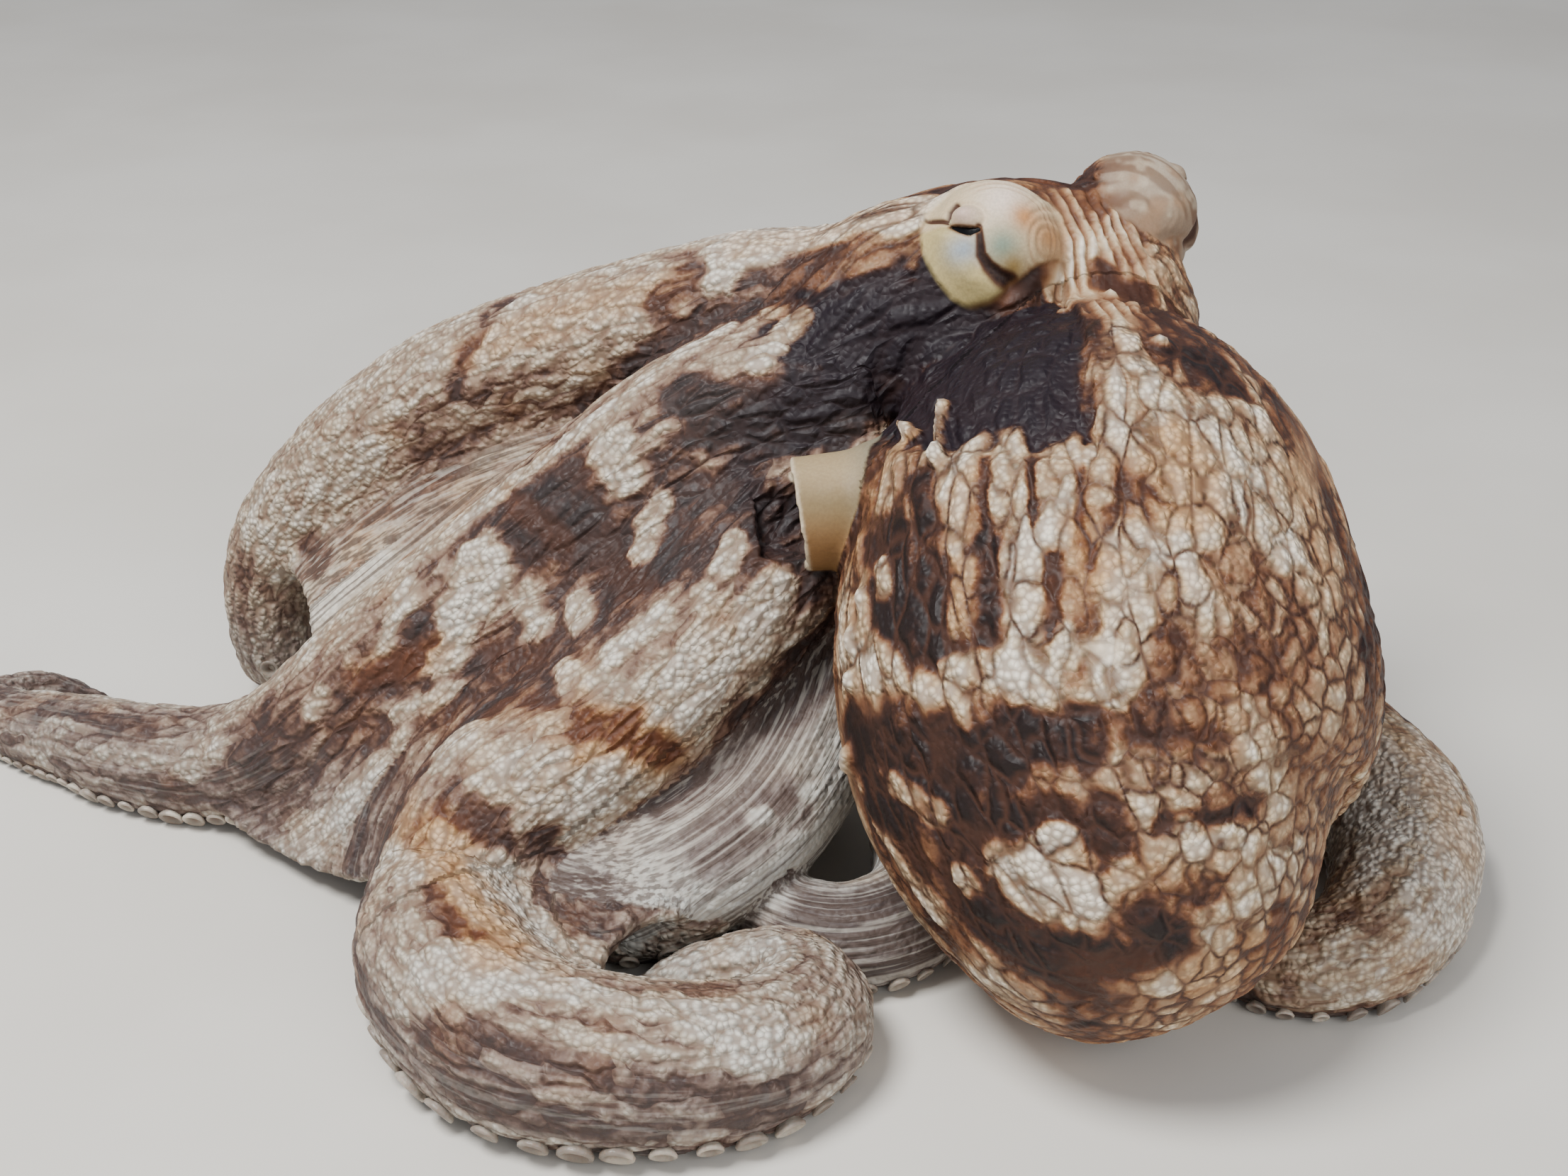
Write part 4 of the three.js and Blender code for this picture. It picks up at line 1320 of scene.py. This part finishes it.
class Nodes:
    """Adds nodes to one tree and hands out their outputs."""

    def __init__(self, tree):
        self.tree = tree

    def add(self, kind, inputs=None, output=0, **settings):
        made = self.tree.nodes.new(kind)
        for name, value in settings.items():
            setattr(made, name, value)
        fill(self.tree, made, inputs or {})
        return made.outputs[output]

    def attribute(self, name, kind="FLOAT"):
        """A value that the mesh holds at each of its points."""
        if self.tree.bl_idname == "GeometryNodeTree":
            return self.add("GeometryNodeInputNamedAttribute", {"Name": name}, data_type=kind)
        output = {"FLOAT": "Fac", "FLOAT_VECTOR": "Vector", "FLOAT_COLOR": "Color"}[kind]
        return self.add("ShaderNodeAttribute", output=output, attribute_name=name)

    def place(self):
        return self.add("ShaderNodeTexCoord", output="Object")

    def math(self, operation, *values):
        return self.add("ShaderNodeMath", dict(enumerate(values)), operation=operation)

    def times(self, a, b):
        return self.math("MULTIPLY", a, b)

    def step(self, value, low, high, out_low=0.0, out_high=1.0):
        """The first output up to low, the second from high on, and an S-curve between."""
        inputs = {"Value": value, "From Min": low, "From Max": high, "To Min": out_low, "To Max": out_high}
        return self.add("ShaderNodeMapRange", inputs, interpolation_type="SMOOTHSTEP")

    def blend(self, share, a, b):
        """Number a where the share is 0, and number b where it is 1."""
        return self.add("ShaderNodeMix", {0: share, 2: a, 3: b}, data_type="FLOAT")

    def choose(self, share, a, b):
        """Vector a where the share is 0, and vector b where it is 1."""
        return self.add("ShaderNodeMix", {0: share, 4: a, 5: b}, output=1, data_type="VECTOR")

    def tint(self, share, a, b):
        """Colour a with a share of colour b over it. A colour is an output, or written as rrggbb."""
        a, b = (rgba(one) if isinstance(one, str) else one for one in (a, b))
        return self.add("ShaderNodeMix", {0: share, 6: a, 7: b}, output=2, data_type="RGBA")

    def vector(self, operation, a, b):
        return self.add("ShaderNodeVectorMath", {0: a, 1: b}, operation=operation)

    def scaled(self, vector, size):
        return self.add("ShaderNodeVectorMath", {0: vector, "Scale": size}, operation="SCALE")

    def clouds(self, place, scale, detail, output=0):
        inputs = {"Vector": place, "Scale": scale, "Detail": detail}
        return self.add("ShaderNodeTexNoise", inputs, output=output)

    def cells(self, place, scale=1.0, output=0, **settings):
        return self.add("ShaderNodeTexVoronoi", {"Vector": place, "Scale": scale}, output, **settings)

    def bump(self, height, distance, strength):
        return self.add("ShaderNodeBump", {"Height": height, "Distance": distance, "Strength": strength})


def cell_places(nodes):
    """Coordinates for the skin's cells, a unit a cell, and how far they are from a change of line."""
    flows = ("flow_even", "flow_odd", "flow_body")
    even, odd, trunk = (nodes.attribute(name, "FLOAT_VECTOR") for name in flows)
    waver = nodes.clouds(trunk, scale=0.25, detail=0.0, output="Color")
    waver = nodes.vector("SUBTRACT", waver, (0.5, 0.5, 0.5))
    shift = nodes.add("ShaderNodeSeparateXYZ", {0: waver})
    share = nodes.math("ADD", nodes.attribute("odd_share"), shift)
    trunk_share = nodes.math("ADD", nodes.attribute("body_share"), shift)
    place = nodes.choose(nodes.math("GREATER_THAN", share, 0.5), even, odd)
    on_trunk = nodes.math("GREATER_THAN", trunk_share, 0.5)
    size = nodes.blend(on_trunk, 1 / ARM_CELL, 1 / BODY_CELL)
    place = nodes.choose(on_trunk, place, trunk)
    place = nodes.vector("ADD", place, nodes.vector("MULTIPLY", waver, (3.0, 3.0, 3.0)))
    away = [nodes.math("ABSOLUTE", nodes.math("SUBTRACT", one, 0.5)) for one in (share, trunk_share)]
    apart = nodes.math("MINIMUM", nodes.math("ADD", away[0], on_trunk), away[1])
    return nodes.scaled(place, size), nodes.times(apart, 2.0)


def cell_edges(nodes, place, apart):
    """0 in the grooves between the skin's cells, and rising inside them."""
    return nodes.math("MINIMUM", nodes.cells(place, feature="DISTANCE_TO_EDGE"), apart)


def cell_relief(skin):
    """Raises the skin's cells out of its grooves in the mesh, in the pattern that its material colours."""
    tree = bpy.data.node_groups.new("cell_relief", "GeometryNodeTree")
    tree.interface.new_socket("Geometry", in_out="INPUT", socket_type="NodeSocketGeometry")
    tree.interface.new_socket("Geometry", in_out="OUTPUT", socket_type="NodeSocketGeometry")
    nodes = Nodes(tree)
    edge = cell_edges(nodes, *cell_places(nodes))
    height = nodes.times(nodes.step(edge, 0.0, 0.3), nodes.attribute("cells"))
    offset = nodes.scaled(nodes.add("GeometryNodeInputNormal"), nodes.times(height, CELL_RELIEF * MM))
    entry = nodes.add("NodeGroupInput")
    moved = nodes.add("GeometryNodeSetPosition", {"Geometry": entry, "Offset": offset})
    tree.links.new(moved, tree.nodes.new("NodeGroupOutput").inputs[0])
    skin.modifiers.new("cells", "NODES").node_group = tree


def new_material(name, shown, inputs_from):
    """A material whose shader gets its inputs from a function of its nodes."""
    material = bpy.data.materials.new(name)
    material.use_nodes = True
    material.diffuse_color = rgba(shown)
    tree = material.node_tree
    tree.nodes.clear()
    shader = tree.nodes.new("ShaderNodeBsdfPrincipled")
    output = tree.nodes.new("ShaderNodeOutputMaterial")
    tree.links.new(shader.outputs[0], output.inputs[0])
    fill(tree, shader, inputs_from(Nodes(tree)))
    return material


SKIN_TONES = [(0.0, "1b0f0d"), (0.2, "3a2118"), (0.4, "714930"), (0.55, "a17d5c"), (0.72, "c9b18f"),
              (0.97, "f0e5d2")]


def tone_ramp(nodes, tone):
    """The skin's own colours, from the darkest brown to nearly white."""
    ramp = nodes.tree.nodes.new("ShaderNodeValToRGB")
    while len(ramp.color_ramp.elements) < len(SKIN_TONES):
        ramp.color_ramp.elements.new(0.5)
    for element, (position, code) in zip(ramp.color_ramp.elements, SKIN_TONES):
        element.position = position
        element.color = rgba(code)
    fill(nodes.tree, ramp, {0: nodes.math("MULTIPLY_ADD", tone, 0.56, 0.46)})
    return ramp.outputs[0]


def streaks(nodes):
    """Noise drawn out along the arms."""
    on_odd = nodes.math("GREATER_THAN", nodes.attribute("odd_share"), 0.5)
    even, odd = (nodes.attribute(name, "FLOAT_VECTOR") for name in ("flow_even", "flow_odd"))
    along = nodes.vector("MULTIPLY", nodes.choose(on_odd, even, odd), (0.05, 0.8, 0.8))
    return nodes.clouds(along, scale=1.0, detail=2.0)


def skin_inputs(nodes):
    """Colour, bumps and sheen of the skin, from its attributes, its cells and finer grains."""
    place = nodes.place()
    cells = nodes.attribute("cells")
    lines = nodes.attribute("lines")
    cell_place, apart = cell_places(nodes)
    edge = cell_edges(nodes, cell_place, apart)
    pillow = nodes.step(edge, 0.0, 0.38)
    random = nodes.add("ShaderNodeSeparateColor", {0: nodes.cells(cell_place, output="Color")})
    soft = nodes.clouds(place, scale=300.0, detail=3.0)
    grain = nodes.cells(place, scale=560.0)
    streak = streaks(nodes)

    tone = nodes.attribute("tone")
    for source, middle, weight in ((random, 0.5, 0.5), (pillow, 0.6, 0.3), (soft, 0.5, 1.1)):
        change = nodes.times(nodes.math("SUBTRACT", source, middle), cells)
        tone = nodes.math("MULTIPLY_ADD", change, weight, tone)
    pale = nodes.step(tone, -0.4, 0.5)

    base = tone_ramp(nodes, tone)
    warm = nodes.times(nodes.attribute("warm"), 0.75)
    base = nodes.tint(warm, base, nodes.tint(pale, "6a3b1f", "d2a26c"))
    # The cool tint: the arms' own grey-blue, and low down painted bluish shade.
    cool = nodes.times(nodes.attribute("cool"), 0.75)
    base = nodes.tint(cool, base, nodes.tint(pale, "544d4c", "b9bfbe"))
    groove = nodes.times(nodes.step(edge, 0.0, 0.15, 1.0, 0.0), cells)
    patches = nodes.step(nodes.clouds(place, scale=75.0, detail=1.0), 0.35, 0.65, 0.6, 1.0)
    depth = nodes.blend(nodes.attribute("body_share"), 0.36, patches)
    base = nodes.tint(nodes.times(groove, depth), base, "3f251a")
    purple = nodes.times(nodes.attribute("purple"), nodes.math("SUBTRACT", 1.0, pale))
    base = nodes.tint(nodes.times(purple, 0.88), base, "170d16")
    # Painted shade in the creases between the grains of the pale skin.
    crease_shade = nodes.times(nodes.step(grain, 0.3, 0.75, 0.0, 0.62), cells)
    base = nodes.tint(nodes.times(crease_shade, pale), base, "6b4d38")
    dark_line = nodes.times(nodes.step(streak, 0.46, 0.58), lines)
    base = nodes.tint(nodes.times(dark_line, 0.75), base, "4f4038")
    pale_line = nodes.times(nodes.step(streak, 0.48, 0.36), lines)
    base = nodes.tint(nodes.times(pale_line, 0.4), base, "c9c3b6")
    freckles = nodes.step(nodes.clouds(place, scale=1500.0, detail=1.0), 0.3, 0.7, 0.0, 0.16)
    paint = nodes.tint(freckles, nodes.attribute("paint", "FLOAT_COLOR"), "5d4430")
    base = nodes.tint(nodes.attribute("painted"), base, paint)

    grain_height = nodes.math("MULTIPLY_ADD", cells, nodes.step(tone, -0.8, 0.3, 0.3, 0.95), 0.04)
    height = nodes.times(nodes.step(grain, 0.0, 0.75, 1.0, 0.0), grain_height)
    height = nodes.math("MULTIPLY_ADD", pillow, nodes.times(cells, 0.75), height)
    height = nodes.math("MULTIPLY_ADD", nodes.times(streak, lines), 0.9, height)
    return {
        "Base Color": base,
        "Normal": nodes.bump(height, distance=0.001, strength=0.8),
        "Roughness": nodes.step(soft, 0.3, 0.7, 0.5, 0.66),
        "Specular IOR Level": 0.3,
        "Subsurface Weight": 0.1,
        "Subsurface Radius": (1.0, 0.55, 0.35),
        "Subsurface Scale": 0.0012,
    }


def eye_inputs(nodes):
    """A wide black pupil in a streaked iris."""
    place = nodes.attribute("eye_place", "FLOAT_VECTOR")
    across, up = (nodes.add("ShaderNodeSeparateXYZ", {0: place}, output=axis) for axis in (0, 1))
    sides = []
    for distance, half in ((across, 4.0), (up, 1.1)):
        share = nodes.math("DIVIDE", nodes.math("ABSOLUTE", distance), half)
        sides.append(nodes.math("POWER", share, 4.0))
    fibres = nodes.clouds(place, scale=1.8, detail=4.0)
    iris = nodes.tint(nodes.step(fibres, 0.35, 0.65), "8c7a52", "cfc6a4")
    return {
        "Base Color": nodes.tint(nodes.step(nodes.math("ADD", *sides), 0.8, 1.3), "050508", iris),
        "Roughness": nodes.step(fibres, 0.3, 0.7, 0.16, 0.24),
        "Specular IOR Level": 0.25,
    }


def sucker_inputs(nodes):
    """Grey-beige rims, with painted shade that darkens each cup towards its bottom."""
    place = nodes.place()
    patches = nodes.clouds(place, scale=90.0, detail=3.0)
    fine = nodes.clouds(place, scale=900.0, detail=2.0)
    base = nodes.tint(nodes.step(patches, 0.4, 0.62), "857a6f", "c2b8a9")
    # Painted shade, darker towards the bottom of each cup.
    base = nodes.tint(nodes.step(nodes.attribute("depth"), 0.0, 1.0), base, "5a4335")
    return {
        "Base Color": nodes.tint(nodes.step(fine, 0.5, 0.75, 0.0, 0.3), base, "8b6c50"),
        "Normal": nodes.bump(fine, distance=0.0004, strength=0.6),
        "Roughness": nodes.step(fine, 0.3, 0.7, 0.35, 0.5),
        "Subsurface Weight": 0.15,
        "Subsurface Scale": 0.0015,
    }


def floor_inputs(nodes):
    speckle = nodes.step(nodes.clouds(nodes.place(), scale=6.0, detail=4.0), 0.3, 0.7)
    return {"Base Color": nodes.tint(speckle, "d6d1c7", "dfdbd2"), "Roughness": 0.8}


# ---- The eyeballs and the suckers ----

def ball(radius, rings=40, sides=64):
    """The points and triangles of a ball."""
    polar = ((np.arange(rings) + 0.5) / rings * math.pi)[:, None]
    around = np.arange(sides) / sides * 2 * math.pi
    turns = (np.sin(polar) * np.cos(around), np.sin(polar) * np.sin(around), np.cos(polar) * np.ones(sides))
    points = np.vstack([np.stack(turns, -1).reshape(-1, 3) * radius, [[0, 0, radius], [0, 0, -radius]]])
    walls = wall_quads(rings, sides)[:, [0, 3, 2, 1]]
    side = np.arange(sides)
    after = (side + 1) % sides
    top, bottom, last = np.full(sides, rings * sides), np.full(sides, rings * sides + 1), (rings - 1) * sides
    first_fan = np.stack([top, side, after], -1)
    last_fan = np.stack([bottom, last + after, last + side], -1)
    return points, np.vstack([walls[:, [0, 1, 2]], walls[:, [0, 2, 3]], first_fan, last_fan])


def eyeball(name):
    """A ball behind the lids, looking out through the slit between them."""
    axes = eye_axes(name)
    nearer = math.sqrt(EYE_BULGE_RADIUS**2 - EYEBALL_AIM @ EYEBALL_AIM)
    gaze = np.append(EYEBALL_AIM, nearer) @ axes / EYE_BULGE_RADIUS
    level = unit(axes[0] - gaze * (axes[0] @ gaze))
    over = np.cross(gaze, level)
    across = level * math.cos(EYEBALL_TILT) + over * math.sin(EYEBALL_TILT)
    up = over * math.cos(EYEBALL_TILT) - level * math.sin(EYEBALL_TILT)
    out = EYE_BULGE_RADIUS + EYE_STANDS_OUT - EYE_RADIUS - EYEBALL_SINKS
    centre = placed(EYES[name]["centre"]) + gaze * out
    points, faces = ball(EYE_RADIUS)
    mesh = mesh_of(name + "_ball", centre + points @ np.array([across, up, gaze]), faces)
    write(mesh, eye_place=points)
    return piece(name + "_ball", mesh)


def sucker_sites(name):
    """Places, directions and sizes of one arm's suckers, in two rows that take turns."""
    arm, line = ARMS[name], arm_lines[name]
    sites = []
    run, row = SUCKER_START, 0
    while run < line.length - SUCKER_END:
        radius = float(arm_radius(arm, line.length, run))
        size = max(SUCKER_SHARE * radius, SUCKER_SMALLEST) * (1 + SUCKER_VARIES * math.sin(2.4 * row))
        centre, ahead = line.at(run), line.direction(run)
        down = unit(np.array([0, 0, -1.0]) + ahead * ahead[2])
        side = np.cross(ahead, down)
        on_floor = 1 - smooth(centre[2], radius, radius * 2.2)
        turn = math.radians(np.interp(on_floor, [0, 1], SUCKER_TURNS)) * (1 if row % 2 else -1)
        out = down * math.cos(turn) + side * math.sin(turn)
        place = centre + out * radius
        seen = centre[2] < 1.3 * radius or run < ARM_ROOT_RUN * 2
        if seen and place[2] > size * 0.9:
            sites.append((place, out, ahead, size))
        run += size * SUCKER_STEP
        row += 1
    return sites


def suckers():
    """All suckers, as one piece, each sunk into the skin where that has grown over its arm."""
    sites = [site for name in ARMS for site in sucker_sites(name)]
    place, out, ahead, size = (np.array(column) for column in zip(*sites))
    clear = body.at(place + out * size[:, None] * 1.3) > 0.4
    place, out, ahead, size = place[clear], out[clear], ahead[clear], size[clear]
    place = place - out * np.clip(body.at(place), -2.5, 2.5)[:, None]
    side = np.cross(out, ahead)
    angle = (np.arange(SUCKER_SIDES) / SUCKER_SIDES * 2 * math.pi)[None, :, None]
    spoke = ahead[:, None] * np.cos(angle) + side[:, None] * np.sin(angle)
    reach, rise = (np.multiply.outer(size, column)[..., None, None] for column in zip(*SUCKER_PROFILE))
    points = place[:, None, None] + spoke[:, None] * reach + out[:, None, None] * rise
    points = points.reshape(-1, 3)
    points[:, 2] = np.maximum(points[:, 2], 0.15)
    rings = len(SUCKER_PROFILE)
    first = np.arange(len(place)) * rings * SUCKER_SIDES
    faces = (wall_quads(rings, SUCKER_SIDES) + first[:, None, None]).reshape(-1, 4)
    mesh = mesh_of("suckers", points, faces)
    # How deep each ring lies in its cup, for the painted shade there.
    depth = np.repeat(np.clip((np.arange(rings) - 4) / 3, 0, 1), SUCKER_SIDES)
    write(mesh, depth=np.tile(depth, len(place)))
    return piece("suckers", mesh)


# ---- Floor, light and camera ----

def floor():
    """A plane for the renders alone, which isn't part of the model."""
    corners = [(x * FLOOR_HALF, y * FLOOR_HALF, 0) for x, y in ((-1, -1), (1, -1), (1, 1), (-1, 1))]
    mesh = bpy.data.meshes.new("floor")
    mesh.from_pydata(corners, [], [(0, 1, 2, 3)])
    mesh.materials.append(new_material("floor", "cfcac0", floor_inputs))
    piece("floor", mesh)


def lamp(name, place, size, power):
    light = bpy.data.lights.new(name, "AREA")
    light.shape = "DISK"
    light.size = size
    light.energy = power
    made = piece(name, light)
    made.location = place
    made.rotation_euler = Vector(LAMPS_AIM - place).to_track_quat("-Z", "Y").to_euler()


def sky():
    world = bpy.data.worlds.new("studio")
    world.use_nodes = True
    background = world.node_tree.nodes["Background"]
    background.inputs["Color"].default_value = SKY_COLOUR
    background.inputs["Strength"].default_value = SKY_STRENGTH
    bpy.context.scene.world = world


def camera():
    data = bpy.data.cameras.new("camera")
    data.lens = LENS
    data.sensor_width = SENSOR
    data.clip_start = 0.01
    made = piece("camera", data)
    axes = Matrix([SEEN_RIGHT, SEEN_UP, SEEN_NEARER]).transposed().to_4x4()
    made.matrix_world = Matrix.Translation(CAMERA_PLACE * MM) @ axes
    bpy.context.scene.camera = made


# ---- The model, from here on in the order in which its pieces are made ----

body, parts = body_field()
skin = piece("skin", skin_mesh())
bpy.context.view_layer.update()
dress(skin.data)
cell_relief(skin)
skin.data.materials.append(new_material("skin", "b9a68a", skin_inputs))
flesh = [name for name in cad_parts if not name.startswith("eye")]
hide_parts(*flesh)
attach(skin, "root")

wet_eye = new_material("eye", "3a3128", eye_inputs)
for name in EYES:
    eye = eyeball(name)
    eye.data.materials.append(wet_eye)
    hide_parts(name)
    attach(eye, "root")

cups = suckers()
cups.data.materials.append(new_material("suckers", "cfc4ae", sucker_inputs))
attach(cups, "root")

floor()
for name, (place, size, power) in LAMPS.items():
    lamp(name, place, size, power)
sky()
camera()
